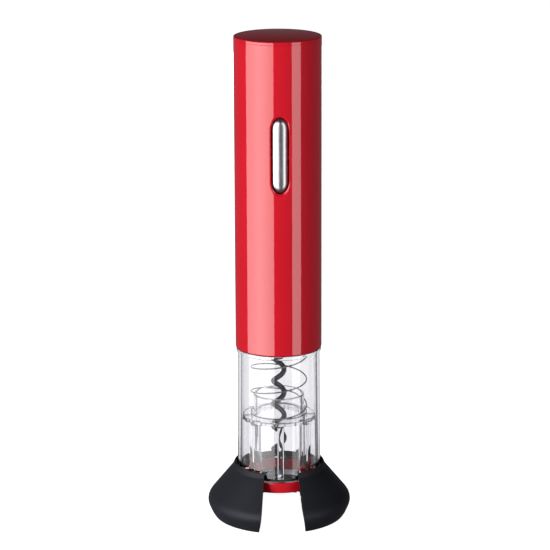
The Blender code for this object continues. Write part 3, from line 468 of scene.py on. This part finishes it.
def wall_radius(angle, z, centre):
    """The housing's outer radius at an angle from its front: a soft-edged flat around the button."""
    x = BODY_RADIUS * math.sin(angle)
    if abs(angle) > math.pi / 3:
        return BODY_RADIUS
    inside = inside_capsule(x, z - centre, RECESS_WIDTH, RECESS_LENGTH)
    share = min(1.0, max(0.0, inside / RECESS_EDGE))
    share = share * share * (3 - 2 * share)
    flat = min(BODY_RADIUS, (BODY_RADIUS - RECESS_DEPTH) / math.cos(angle))
    return BODY_RADIUS + (flat - BODY_RADIUS) * share


def make_housing():
    """The red tube with its dished recess and the button's opening."""
    centre = (BUTTON_LOW + BUTTON_HIGH) / 2
    fine, coarse = 0.45, 3.0
    reach = 20.0
    angles = [-reach + fine * k for k in range(round(2 * reach / fine) + 1)]
    rest = round((360 - 2 * reach) / coarse)
    angles += [reach + (360 - 2 * reach) * k / rest for k in range(1, rest)]
    angles = [math.radians(a if a <= 180 else a - 360) for a in angles]
    heights = []
    z = centre - RECESS_LENGTH / 2 - 2.0
    while z < centre + RECESS_LENGTH / 2 + 2.0:
        heights.append(z)
        z += 0.5
    bm = bmesh.new()
    rows = []

    def row(radius_at, height):
        ring = []
        for a in angles:
            r = radius_at(a)
            ring.append(bm.verts.new((r * math.sin(a), -r * math.cos(a), height)))
        rows.append(ring)

    for k in range(7):
        a = math.radians(15 * k)
        inset, rise = BODY_FILLET * (1 - math.sin(a)), BODY_FILLET * (1 - math.cos(a))
        row(lambda _, inset=inset: BODY_RADIUS - inset, BODY_LOW + rise)
    row(lambda _: BODY_RADIUS, BODY_LOW + BODY_FILLET + SUPPORT)
    for z in heights:
        row(lambda a, z=z: wall_radius(a, z, centre), z)
    row(lambda _: BODY_RADIUS, BODY_HIGH - BODY_RIM - SUPPORT)
    row(lambda _: BODY_RADIUS, BODY_HIGH - BODY_RIM)
    row(lambda _: BODY_RADIUS - BODY_RIM, BODY_HIGH)
    row(lambda _: BODY_BORE, BODY_HIGH)
    row(lambda _: BODY_BORE, BODY_LOW)
    skin(bm, rows)
    tube_piece = solid(bm, "housing_shell", "red_gloss")
    loop = capsule(BUTTON_WIDTH + 2 * BUTTON_GAP, BUTTON_HIGH - BUTTON_LOW + 2 * BUTTON_GAP)
    cutter = bmesh.new()
    depths = (-BODY_RADIUS - CUT_MARGIN, -BODY_BORE + 8.0)
    rows = [[cutter.verts.new((x, y, z + centre)) for x, z in loop] for y in depths]
    skin(cutter, rows, closed_rows=False)
    cutter.faces.new(rows[0])
    cutter.faces.new(rows[1])
    combined(tube_piece, solid(cutter, "opening", "red_gloss"), "DIFFERENCE")
    return settle(tube_piece, "opener", "red_gloss", "housing_tube")


def make_cap():
    """The battery cap: a plate as wide as the housing, on a spigot that goes inside it."""
    plate_low = BODY_HIGH + CAP_SEAM
    corners = [
        (0, plate_low - CAP_PLATE),
        (SPIGOT_RADIUS - CAP_WALL, plate_low - CAP_PLATE),
        (SPIGOT_RADIUS - CAP_WALL, CAP_SKIRT_LOW, 0.4),
        (SPIGOT_RADIUS, CAP_SKIRT_LOW, 0.4),
        (SPIGOT_RADIUS, plate_low),
        (BODY_RADIUS, plate_low, 0.05),
        (BODY_RADIUS, CAP_TOP, CAP_FILLET),
        (0, CAP_TOP),
    ]
    settle(solid(turned(corners), "end_cap", "red_gloss"), "cap", "red_gloss", "battery_cap")


def make_button():
    """The silver rocker: a deep crown, a small pointer near each end, and the boss on its pin."""
    centre = (BUTTON_LOW + BUTTON_HIGH) / 2
    length = BUTTON_HIGH - BUTTON_LOW
    edge = BUTTON_FRONT + BUTTON_CROWN
    bm = bmesh.new()
    rows = []

    def loop(width, long, y):
        rows.append([bm.verts.new((x, y, z + centre)) for x, z in capsule(width, long)])

    loop(BUTTON_WIDTH, length, BUTTON_FRONT + BUTTON_DEPTH)
    steps = 14
    for k in range(steps + 1):
        a = math.pi / 2 * k / steps
        narrow = BUTTON_WIDTH * (1 - math.cos(a))
        loop(BUTTON_WIDTH - narrow + 1e-3, length - 0.8 * narrow, edge - BUTTON_CROWN * math.sin(a))
    skin(bm, rows, closed_rows=False)
    bm.faces.new(rows[0])
    bm.faces.new(rows[-1])
    for sign in (1, -1):
        tip = centre + sign * POINTER_TIP
        base = centre + sign * POINTER_BASE
        corners = [(0, tip), (POINTER_HALF, base), (0, base + sign * POINTER_NOTCH), (-POINTER_HALF, base)]
        low = [bm.verts.new((x, BUTTON_FRONT + 0.5, z)) for x, z in corners]
        high = [bm.verts.new((x * 0.8, BUTTON_FRONT + 0.02, z)) for x, z in corners]
        skin(bm, [low, high], closed_rows=False)
        bm.faces.new(high)
        bm.faces.new(low)
    pin = [
        (0, -PIVOT_HALF),
        (PIVOT_RADIUS, -PIVOT_HALF, 0.2),
        (PIVOT_RADIUS, PIVOT_HALF, 0.2),
        (0, PIVOT_HALF),
    ]
    pivot = turned(pin, 32)
    bmesh.ops.rotate(pivot, verts=pivot.verts, matrix=Matrix.Rotation(math.pi / 2, 3, "Y"))
    bmesh.ops.translate(pivot, verts=pivot.verts, vec=(0, PIVOT_Y, centre))
    copied = bpy.data.meshes.new("pivot")
    pivot.to_mesh(copied)
    pivot.free()
    bm.from_mesh(copied)
    bpy.data.meshes.remove(copied)
    settle(solid(bm, "rocker_button", "silver"), "rocker", "silver", "button")


# ---------------------------------------------------------------- clear sleeve, ring and guide
def make_ribs():
    """The ribs that centre a bottle's neck, each with a rounded inner edge and a chamfered foot."""
    bm = bmesh.new()
    half = RIB_WIDTH / 2
    tip = 0.92 * half
    outline = [(RIB_ROOT, -half)]
    for k in range(7):
        a = math.radians(15 * k)
        outline.append((RIB_TIP + tip - tip * math.sin(a), -half + tip - tip * math.cos(a)))
    for k in range(7):
        a = math.radians(15 * (6 - k))
        outline.append((RIB_TIP + tip - tip * math.sin(a), half - tip + tip * math.cos(a)))
    outline.append((RIB_ROOT, half))
    for k in range(RIB_COUNT):
        turn = Matrix.Rotation(2 * math.pi * k / RIB_COUNT - math.pi / 2, 3, "Z")
        rows = []
        for foot in (True, False):
            row = []
            for x, y in outline:
                rise = max(0.0, RIB_TIP + RIB_CHAMFER - x) if foot else 0.0
                z = SLEEVE_LOW + (RIB_LOW + rise if foot else RIB_HIGH)
                row.append(bm.verts.new(turn @ Vector((x, y, z))))
            rows.append(row)
        skin(bm, rows, closed_rows=False)
        bm.faces.new(rows[0])
        bm.faces.new(rows[1])
    bmesh.ops.triangulate(bm, faces=[f for f in bm.faces if len(f.verts) > 4])
    return bm


def make_sleeve():
    """The clear sleeve: a foot flange, a drafted wall, a lip under the housing and a spigot inside it."""
    lip = BODY_LOW - SLEEVE_GAP
    upper = RING_RADIUS - SLEEVE_DRAFT
    flange = RING_RADIUS - 0.12
    low = SLEEVE_LOW
    corners = [
        (flange, low, 0.35),
        (flange, low + SLEEVE_FLANGE, 0.3),
        (RING_RADIUS - 0.25, low + SLEEVE_FLANGE + 0.4),
        (upper, lip - SLEEVE_LIP - 0.4),
        (upper + SLEEVE_LIP_OUT, lip - SLEEVE_LIP, 0.15),
        (upper + SLEEVE_LIP_OUT, lip, 0.3),
        (SPIGOT_RADIUS, lip),
        (SPIGOT_RADIUS, SLEEVE_HIGH, 0.3),
        (SPIGOT_RADIUS - SPIGOT_WALL, SLEEVE_HIGH, 0.3),
        (SPIGOT_RADIUS - SPIGOT_WALL, lip + 1.0, 0.5),
        (upper - (RING_RADIUS - SLEEVE_BORE), lip - SLEEVE_LIP, 1.0),
        (SLEEVE_BORE, low, 0.3),
    ]
    sleeve = solid(turned(corners), "clear_chamber", "clear_plastic")
    combined(sleeve, solid(make_ribs(), "ribs", "clear_plastic"), "UNION")
    settle(sleeve, "opener", "clear_plastic", "clear_sleeve")


def make_end_ring():
    """The red ring that closes the sleeve's foot."""
    corners = [
        (RING_RADIUS, RING_LOW, 1.2),
        (RING_RADIUS, RING_HIGH, 0.35),
        (RING_BORE, RING_HIGH, 0.35),
        (RING_BORE, RING_LOW, 0.6),
    ]
    settle(solid(turned(corners), "foot_ring", "red_gloss"), "opener", "red_gloss", "end_ring")


def make_guide():
    """The clear cork guide: a collar on a flange whose rim is notched."""
    corners = [
        (GUIDE_RADIUS, GUIDE_LOW, 0.2),
        (GUIDE_RADIUS, GUIDE_LOW + GUIDE_FLANGE, 0.2),
        (GUIDE_COLLAR + 0.1, GUIDE_LOW + GUIDE_FLANGE, 0.4),
        (GUIDE_COLLAR, GUIDE_HIGH, 0.6),
        (GUIDE_BORE, GUIDE_HIGH, 0.6),
        (GUIDE_BORE, GUIDE_LOW, 0.4),
    ]
    segments = GUIDE_NOTCHES * 8
    bm = turned(corners, segments)
    for vert in bm.verts:
        radius = math.hypot(vert.co.x, vert.co.y)
        angle = math.atan2(vert.co.y, vert.co.x)
        beat = (angle * GUIDE_NOTCHES / (2 * math.pi)) % 1.0
        if radius > GUIDE_RADIUS - 0.5 and beat < 0.5:
            scale = (radius - GUIDE_NOTCH_DEPTH) / radius
            vert.co.x *= scale
            vert.co.y *= scale
    settle(solid(bm, "clear_guide", "clear_plastic"), "guide", "clear_plastic", "cork_guide")


def helix(radius, pitch, low, high, phase, per_turn):
    """Points of a right-handed helix that crosses +X at the height phase."""
    count = round((high - low) / pitch * per_turn)
    points = []
    for k in range(count + 1):
        z = low + (high - low) * k / count
        a = 2 * math.pi * (z - phase) / pitch
        points.append((radius * math.cos(a), radius * math.sin(a), z))
    return points


def make_spring():
    """The spring over the guide; its last turn lies flat on the guide's flange."""
    half = SPRING_WIRE / 2
    radius = SPRING_OUTER - half
    foot = SPRING_LOW + half
    points = helix(radius, SPRING_PITCH, foot, SPRING_HIGH - half, SPRING_PHASE, SPRING_STEPS)
    eased = SPRING_STEPS // 2
    for k in range(eased):
        x, y, z = points[k]
        share = k / eased
        points[k] = (x, y, foot + (z - foot) * share * share * (3 - 2 * share))
    first = math.atan2(points[0][1], points[0][0])
    flat = [first - 2 * math.pi * k / SPRING_STEPS for k in range(1, SPRING_STEPS - 8)]
    flat.reverse()
    points = [(radius * math.cos(a), radius * math.sin(a), foot) for a in flat] + points
    spring = solid(tube(points, [half] * len(points), 14), "return_spring", "steel", 60.0)
    settle(spring, "opener", "steel", "guide_spring")
    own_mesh(spring)


def make_worm():
    """The coated worm: a ground tip, its turns, and the shank that swings onto the axis."""
    top = HUB_LOW - 1.5 * WORM_WIRE
    points = helix(WORM_COIL, WORM_PITCH, WORM_LOW + 0.1, top, WORM_PHASE, WORM_STEPS)
    points = [p for p in points if p[2] < top]
    shares = [min(1.0, 0.05 + 0.95 * (p[2] - WORM_LOW) / WORM_PITCH) for p in points]
    x, y, _ = points[-1]
    steps = 10
    for k in range(1, steps + 1):
        share = k / steps
        swing = 1 - share * share * (3 - 2 * share)
        points.append((x * swing, y * swing, top + 1.3 * WORM_WIRE * share))
        shares.append(1.0)
    points.append((0.0, 0.0, HUB_LOW + SHANK))
    shares.append(1.0)
    bm = tube(points, [WORM_WIRE / 2 * share for share in shares], 22)
    settle(solid(bm, "cork_worm", "worm_coating", 60.0), "drive", "worm_coating", "worm")


# ---------------------------------------------------------------- foil cutter
def cutter_outer(inset=0.0):
    """The skirt's outer corners, from the foot to the rim."""
    return [
        (CUTTER_FOOT - inset, 0.0, 1.2),
        (CUTTER_FOOT + FOOT_LIP - inset, FOOT_LIP_HEIGHT, 0.8),
        (CUTTER_RADIUS - inset, CUTTER_WIDEST, CUTTER_ROUND),
        (RIM_RADIUS + NECK_FLARE - inset, NECK_FOOT, 3.0),
        (RIM_RADIUS - inset, CUTTER_RIM, 0.35),
    ]


def skin_radius(z, inset=0.0):
    """The skirt's inner face at this height: parallel to its slope, or to its foot further down."""
    dr = RIM_RADIUS + NECK_FLARE - CUTTER_RADIUS
    dz = NECK_FOOT - CUTTER_WIDEST
    length = math.hypot(dr, dz)
    r0 = CUTTER_RADIUS - CUTTER_SKIN * dz / length
    z0 = CUTTER_WIDEST + CUTTER_SKIN * dr / length
    sloping = r0 + (z - z0) * dr / dz
    lip = CUTTER_FOOT + FOOT_LIP
    foot = lip + (z - FOOT_LIP_HEIGHT) * (CUTTER_RADIUS - lip) / (CUTTER_WIDEST - FOOT_LIP_HEIGHT)
    return min(sloping, foot - CUTTER_SKIN) - inset


def jaw_outline():
    """A petal's section: the skirt with its socket, the sleeve's ledge and the wheels' two shelves."""
    low, low_top, high, high_top = SHELVES
    slope = skin_radius(LEDGE_TOP) - skin_radius(LEDGE_TOP + 1.0)
    socket_foot = LEDGE_TOP + (skin_radius(LEDGE_TOP) - SOCKET_RADIUS) / slope
    ledge_low = LEDGE_TOP - LEDGE_THICK
    soft = 0.3
    return cutter_outer() + [
        (SOCKET_RADIUS, CUTTER_RIM, 0.3),
        (SOCKET_RADIUS, socket_foot),
        (skin_radius(LEDGE_TOP), LEDGE_TOP, soft),
        (LEDGE_BORE, LEDGE_TOP, soft),
        (LEDGE_BORE, ledge_low, soft),
        (skin_radius(ledge_low), ledge_low, soft),
        (skin_radius(high_top), high_top, soft),
        (SHELF_BORE, high_top, soft),
        (SHELF_BORE, high, soft),
        (skin_radius(high), high, soft),
        (skin_radius(low_top), low_top, soft),
        (SHELF_BORE, low_top, soft),
        (SHELF_BORE, low, soft),
        (skin_radius(low), low, soft),
        (CUTTER_FOOT - CUTTER_SKIN, 0.0, soft),
    ]


def inset_outline(points, amount):
    """The closed outline moved inwards by the amount at every point."""
    area = sum(a[0] * b[1] - b[0] * a[1] for a, b in zip(points, points[1:] + points[:1]))
    side = 1 if area > 0 else -1
    moved = []
    for i, point in enumerate(points):
        before = Vector(point) - Vector(points[i - 1])
        after = Vector(points[(i + 1) % len(points)]) - Vector(point)
        if before.length < 1e-6 or after.length < 1e-6:
            moved.append(point)
            continue
        n1 = Vector((-before.y, before.x)).normalized() * side
        n2 = Vector((-after.y, after.x)).normalized() * side
        middle = (n1 + n2).normalized()
        reach = min(amount / max(0.5, middle.dot(n1)), 1.6 * amount)
        moved.append((point[0] + middle.x * reach, point[1] + middle.y * reach))
    return moved


def slot_half(z):
    """Half the front slot's width at this height."""
    return SLOT_AT_TABLE + (SLOT_AT_RIM - SLOT_AT_TABLE) * z / CUTTER_RIM


def swept_petal(side):
    """One petal: its outline swept from the front slot to the back one, with both end edges rounded."""
    outline = rounded(jaw_outline())
    steps = 6
    rows = []
    bm = bmesh.new()

    def row(points, front_share, extra, from_back):
        """extra is how far the row lies from its end plane, in millimetres."""
        ring = []
        for r, z in points:
            front = math.asin(min(1.0, (slot_half(z) + (0 if from_back else extra)) / r))
            back = math.pi - math.asin(min(1.0, (BACK_SLOT + (extra if from_back else 0)) / r))
            a = front + (back - front) * front_share
            ring.append(bm.verts.new((side * r * math.sin(a), -r * math.cos(a), z)))
        rows.append(ring)

    turns = [math.pi / 2 * k / steps for k in range(steps + 1)]
    shrink = [(1 - math.sin(a), 1 - math.cos(a)) for a in turns]
    for inset, rise in shrink:
        row(inset_outline(outline, EDGE_ROUND * inset), 0.0, EDGE_ROUND * rise, False)
    across = 56
    for k in range(1, across):
        row(outline, k / across, 0.0, False)
    for inset, rise in reversed(shrink):
        row(inset_outline(outline, EDGE_ROUND * inset), 1.0, EDGE_ROUND * rise, True)
    skin(bm, rows, closed_rows=False)
    for end in (rows[0], rows[-1]):
        flat = bm.faces.new(end)
        bmesh.ops.triangulate(bm, faces=[flat])
    return bm


def boss(radius, low, high, x, y, soft=0.2):
    """A turned post with soft edges, as a helper for a Boolean."""
    bm = turned([(0, low), (radius, low, soft), (radius, high, soft), (0, high)], 48)
    bmesh.ops.translate(bm, verts=bm.verts, vec=(x, y, 0))
    return solid(bm, "post", "black_plastic")


def slab(low, high, soft=0.25):
    """A plate between two corners with soft edges, as a helper for a Boolean."""
    bm = bmesh.new()
    bmesh.ops.create_cube(bm, size=1.0)
    for vert in bm.verts:
        for axis in range(3):
            vert.co[axis] = low[axis] if vert.co[axis] < 0 else high[axis]
    bmesh.ops.bevel(bm, geom=bm.edges[:], offset=soft, segments=2, affect="EDGES", profile=0.5)
    return solid(bm, "plate", "black_plastic")


def make_jaws():
    """The two petals, each with its wheels' bores and the knuckle that turns on its hinge pin."""
    high_top = SHELVES[-1]
    for side, word in ((-1, "left"), (1, "right")):
        petal = solid(swept_petal(side), f"petal_{word}", "black_plastic", 40.0)
        x, y = side * HINGE_X, HINGE_Y
        combined(petal, boss(KNUCKLE_RADIUS + JAW_GAP, -CUT_MARGIN, KNUCKLE_ROOM, x, y), "DIFFERENCE")
        arm = sorted((x, x + side * (KNUCKLE_RADIUS + 5.0)))
        half = 0.75 * KNUCKLE_RADIUS
        inner = (arm[0], y - half, KNUCKLE_LOW + 0.2)
        combined(petal, slab(inner, (arm[1], y + half, KNUCKLE_HIGH - 0.2)), "UNION")
        combined(petal, boss(KNUCKLE_RADIUS, KNUCKLE_LOW, KNUCKLE_HIGH, x, y), "UNION")
        combined(petal, boss(HINGE_BORE, -CUT_MARGIN, LUG_HIGH + CUT_MARGIN, x, y), "DIFFERENCE")
        for number in (1, 2, 3, 4):
            (ax, ay, _), (bx, by, _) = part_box(f"wheel_axle_{number}")
            centre = ((ax + bx) / 2 / MM, (ay + by) / 2 / MM)
            if centre[0] * side > 0:
                combined(petal, boss(AXLE_BORE, 0, high_top + 2, *centre), "DIFFERENCE")
        settle(petal, f"jaw_{word}", "black_plastic", f"{word}_jaw")


def make_bridge():
    """The fixed back of the cutter: a curved wall with two lugs that carry the hinge pins."""
    corners = cutter_outer(BRIDGE_INSET)
    corners[-2] = (RIM_RADIUS + NECK_FLARE, NECK_FOOT, 1.0)
    corners[-1] = (RIM_RADIUS + 0.6, BRIDGE_RIM, 0.3)
    outline = rounded(corners + [
        (SOCKET_RADIUS + 0.3, BRIDGE_RIM, 0.3),
        (SOCKET_RADIUS + 0.3, NECK_FOOT - 1.5, 0.3),
        (skin_radius(CUTTER_WIDEST, BRIDGE_INSET), CUTTER_WIDEST, 1.0),
        (CUTTER_FOOT - CUTTER_SKIN - BRIDGE_INSET, 0.0, 0.3),
    ])
    half = BACK_SLOT - JAW_GAP
    bm = bmesh.new()
    rows = []
    across = 30
    for k in range(across + 1):
        x = half * (2 * k / across - 1)
        rows.append([bm.verts.new((x, math.sqrt(r * r - x * x), z)) for r, z in outline])
    skin(bm, rows, closed_rows=False)
    for end in (rows[0], rows[-1]):
        bmesh.ops.triangulate(bm, faces=[bm.faces.new(end)])
    wall = solid(bm, "back_bridge", "black_plastic", 40.0)
    depth = 0.86 * KNUCKLE_RADIUS
    low_lug, low_top = LUG_LOW, KNUCKLE_LOW - JAW_PLAY
    high_lug, high_top = KNUCKLE_HIGH + JAW_PLAY, LUG_HIGH
    narrowest = min(skin_radius(low_lug, BRIDGE_INSET), skin_radius(high_top, BRIDGE_INSET))
    reach = math.sqrt((narrowest + CUTTER_SKIN / 2) ** 2 - half**2)
    for low, high in ((low_lug, low_top), (high_lug, high_top)):
        combined(wall, slab((-half, HINGE_Y - depth, low), (half, reach, high)), "UNION")
        combined(wall, slab((-HINGE_X, HINGE_Y - depth, low), (HINGE_X, HINGE_Y + depth, high)), "UNION")
        for side in (-1, 1):
            combined(wall, boss(KNUCKLE_RADIUS, low, high, side * HINGE_X, HINGE_Y), "UNION")
    for side in (-1, 1):
        bore = boss(HINGE_BORE, -CUT_MARGIN, LUG_HIGH + CUT_MARGIN, side * HINGE_X, HINGE_Y)
        combined(wall, bore, "DIFFERENCE")
    settle(wall, "stand", "black_plastic", "cutter_bridge")


# ---------------------------------------------------------------- studio
def emitter(name, strength, glows=False):
    """White light from a surface; where it glows, its strength follows the mesh's own glow attribute."""
    made = bpy.data.materials.new(name)
    made.use_nodes = True
    nodes = made.node_tree.nodes
    nodes.remove(nodes["Principled BSDF"])
    light = nodes.new("ShaderNodeEmission")
    light.inputs["Color"].default_value = (1.0, 1.0, 1.0, 1.0)
    light.inputs["Strength"].default_value = strength
    if glows:
        share = nodes.new("ShaderNodeAttribute")
        share.attribute_name = "glow"
        scaled = nodes.new("ShaderNodeMath")
        scaled.operation = "MULTIPLY"
        scaled.inputs[1].default_value = strength
        made.node_tree.links.new(share.outputs["Fac"], scaled.inputs[0])
        made.node_tree.links.new(scaled.outputs["Value"], light.inputs["Strength"])
    made.node_tree.links.new(light.outputs["Emission"], nodes["Material Output"].inputs["Surface"])
    return made


def card(name, corners, faces, material, seen_by):
    """A studio surface in metres that only the named kinds of ray see, kept out of the object."""
    mesh = bpy.data.meshes.new(name)
    mesh.from_pydata(corners, [], faces)
    mesh.materials.append(material)
    obj = bpy.data.objects.new(name, mesh)
    bpy.context.scene.collection.objects.link(obj)
    for kind in ("camera", "diffuse", "glossy", "transmission", "volume_scatter", "shadow"):
        setattr(obj, f"visible_{kind}", kind in seen_by)
    return mesh


def around(first, last, radius, steps=24):
    """Places on a circle between two compass angles, measured from the front."""
    angles = [math.radians(first + (last - first) * k / steps) for k in range(steps + 1)]
    return [(radius * math.sin(a), -radius * math.cos(a)) for a in angles]


def arc_card(name, material, first, last, radius, low, high, seen_by, glow=(1.0, 1.0, 1.0)):
    """A curved card standing round the object.

    glow is its relative strength at its first edge, its middle and its last edge.
    """
    places = around(first, last, radius)
    steps = len(places) - 1
    corners = [(x, y, z) for x, y in places for z in (low, high)]
    faces = [(2 * k, 2 * k + 2, 2 * k + 3, 2 * k + 1) for k in range(steps)]
    mesh = card(name, corners, faces, material, seen_by)
    strength = mesh.attributes.new("glow", "FLOAT", "POINT")
    for k in range(steps + 1):
        share = 2 * k / steps
        if share < 1:
            value = glow[0] + (glow[1] - glow[0]) * share
        else:
            value = glow[1] + (glow[2] - glow[1]) * (share - 1)
        strength.data[2 * k].value = value
        strength.data[2 * k + 1].value = value


def floor_sector(name, material, first, last, radius, seen_by):
    """A flat sector of the floor, for what is seen through the clear pieces."""
    places = around(first, last, radius)
    corners = [(0.0, 0.0, CLEAR_FLOOR_Z)] + [(x, y, CLEAR_FLOOR_Z) for x, y in places]
    faces = [(0, k + 1, k + 2) for k in range(len(places) - 1)]
    card(name, corners, faces, material, seen_by)


def area_light(name, power, size, place, target):
    """A soft light that shades the object but shows in no reflection and through no clear piece."""
    data = bpy.data.lights.new(name, "AREA")
    data.shape = "RECTANGLE"
    data.size, data.size_y = size
    data.energy = power
    obj = bpy.data.objects.new(name, data)
    bpy.context.scene.collection.objects.link(obj)
    obj.location = place
    obj.rotation_euler = (Vector(target) - Vector(place)).to_track_quat("-Z", "Y").to_euler()
    obj.visible_camera = False
    obj.visible_glossy = False
    obj.visible_transmission = False


def make_world():
    """Grey below the horizon, dark above it."""
    world = bpy.data.worlds.new("studio")
    bpy.context.scene.world = world
    world.use_nodes = True
    nodes = world.node_tree.nodes
    link = world.node_tree.links.new
    place = nodes.new("ShaderNodeTexCoord")
    parts = nodes.new("ShaderNodeSeparateXYZ")
    ramp = nodes.new("ShaderNodeValToRGB")
    spread = nodes.new("ShaderNodeMapRange")
    spread.inputs["From Min"].default_value = -1.0
    link(place.outputs["Generated"], parts.inputs["Vector"])
    link(parts.outputs["Z"], spread.inputs["Value"])
    link(spread.outputs["Result"], ramp.inputs["Fac"])
    dark, pale = ramp.color_ramp.elements[1], ramp.color_ramp.elements[0]
    pale.position, pale.color = 0.5, (0.13, 0.13, 0.145, 1.0)
    dark.position, dark.color = 0.62, (0.03, 0.03, 0.033, 1.0)
    link(ramp.outputs["Color"], nodes["Background"].inputs["Color"])


def make_floor():
    """A pale floor with a faint contact shadow, the white behind it, and what the clear pieces show.

    Through the clear pieces only the sectors are white; the gaps between them give thin dark edges.
    """
    made = bpy.data.materials.new("pale_floor")
    made.use_nodes = True
    shader = made.node_tree.nodes["Principled BSDF"]
    shader.inputs["Base Color"].default_value = (0.8, 0.8, 0.8, 1.0)
    shader.inputs["Roughness"].default_value = 0.9
    shader.inputs["Emission Color"].default_value = (1.0, 1.0, 1.0, 1.0)
    shader.inputs["Emission Strength"].default_value = 0.97
    signs = ((-1, -1), (1, -1), (1, 1), (-1, 1))
    corners = [(FLOOR_HALF * i, FLOOR_HALF * j, FLOOR_Z) for i, j in signs]
    card("floor", corners, [(0, 1, 2, 3)], made, ("camera", "shadow"))
    white = emitter("backdrop_white", 1.0)
    arc_card("backdrop", white, 0.0, 360.0, WALL_RADIUS, -2.0, WALL_TOP, ("camera",))
    for name, first, last in CLEAR_SECTORS:
        arc_card(f"clear_wall_{name}", white, first, last, WALL_RADIUS, 0.0, WALL_TOP, ("transmission",))
        floor_sector(f"clear_floor_{name}", white, first, last, WALL_RADIUS, ("transmission",))


def make_studio():
    """The white room, two cards for the reflections, and three soft lights."""
    make_world()
    make_floor()
    left = emitter("left_card", 7.3, glows=True)
    right = emitter("right_card", 3.8)
    size = (CARD_RADIUS, CARD_LOW, CARD_HIGH)
    arc_card("card_left", left, -93.0, -14.0, *size, ("glossy",), (0.62, 1.0, 0.68))
    arc_card("card_right", right, 34.0, 59.0, *size, ("glossy",))
    area_light("key", 47.0, (0.9, 1.4), (-1.15, -1.1, 0.15), (0, 0, 0.13))
    area_light("back", 12.0, (1.2, 1.2), (-0.4, 1.4, 0.5), (0, 0, 0.15))
    area_light("fill", 10.4, (1.2, 1.2), (1.3, -0.9, 0.2), (0, 0, 0.13))


def make_camera():
    """The photo's view: a long lens, a little above the opener's top."""
    data = bpy.data.cameras.new("camera")
    data.lens = 164.04
    data.sensor_width = 36.0
    obj = bpy.data.objects.new("camera", data)
    bpy.context.scene.collection.objects.link(obj)
    turn = (
        Matrix.Rotation(math.radians(-2.75), 4, "Z")
        @ Matrix.Rotation(math.radians(75.41), 4, "X")
        @ Matrix.Rotation(math.radians(-0.2227), 4, "Z")
    )
    obj.matrix_world = Matrix.Translation((-0.06912, -1.39830, 0.50896)) @ turn
    bpy.context.scene.camera = obj


def main():
    dress_frame()
    make_housing()
    make_cap()
    make_button()
    make_sleeve()
    make_end_ring()
    make_guide()
    make_spring()
    make_worm()
    make_jaws()
    make_bridge()
    make_studio()
    make_camera()
    bpy.context.scene.view_settings.view_transform = "Standard"


main()
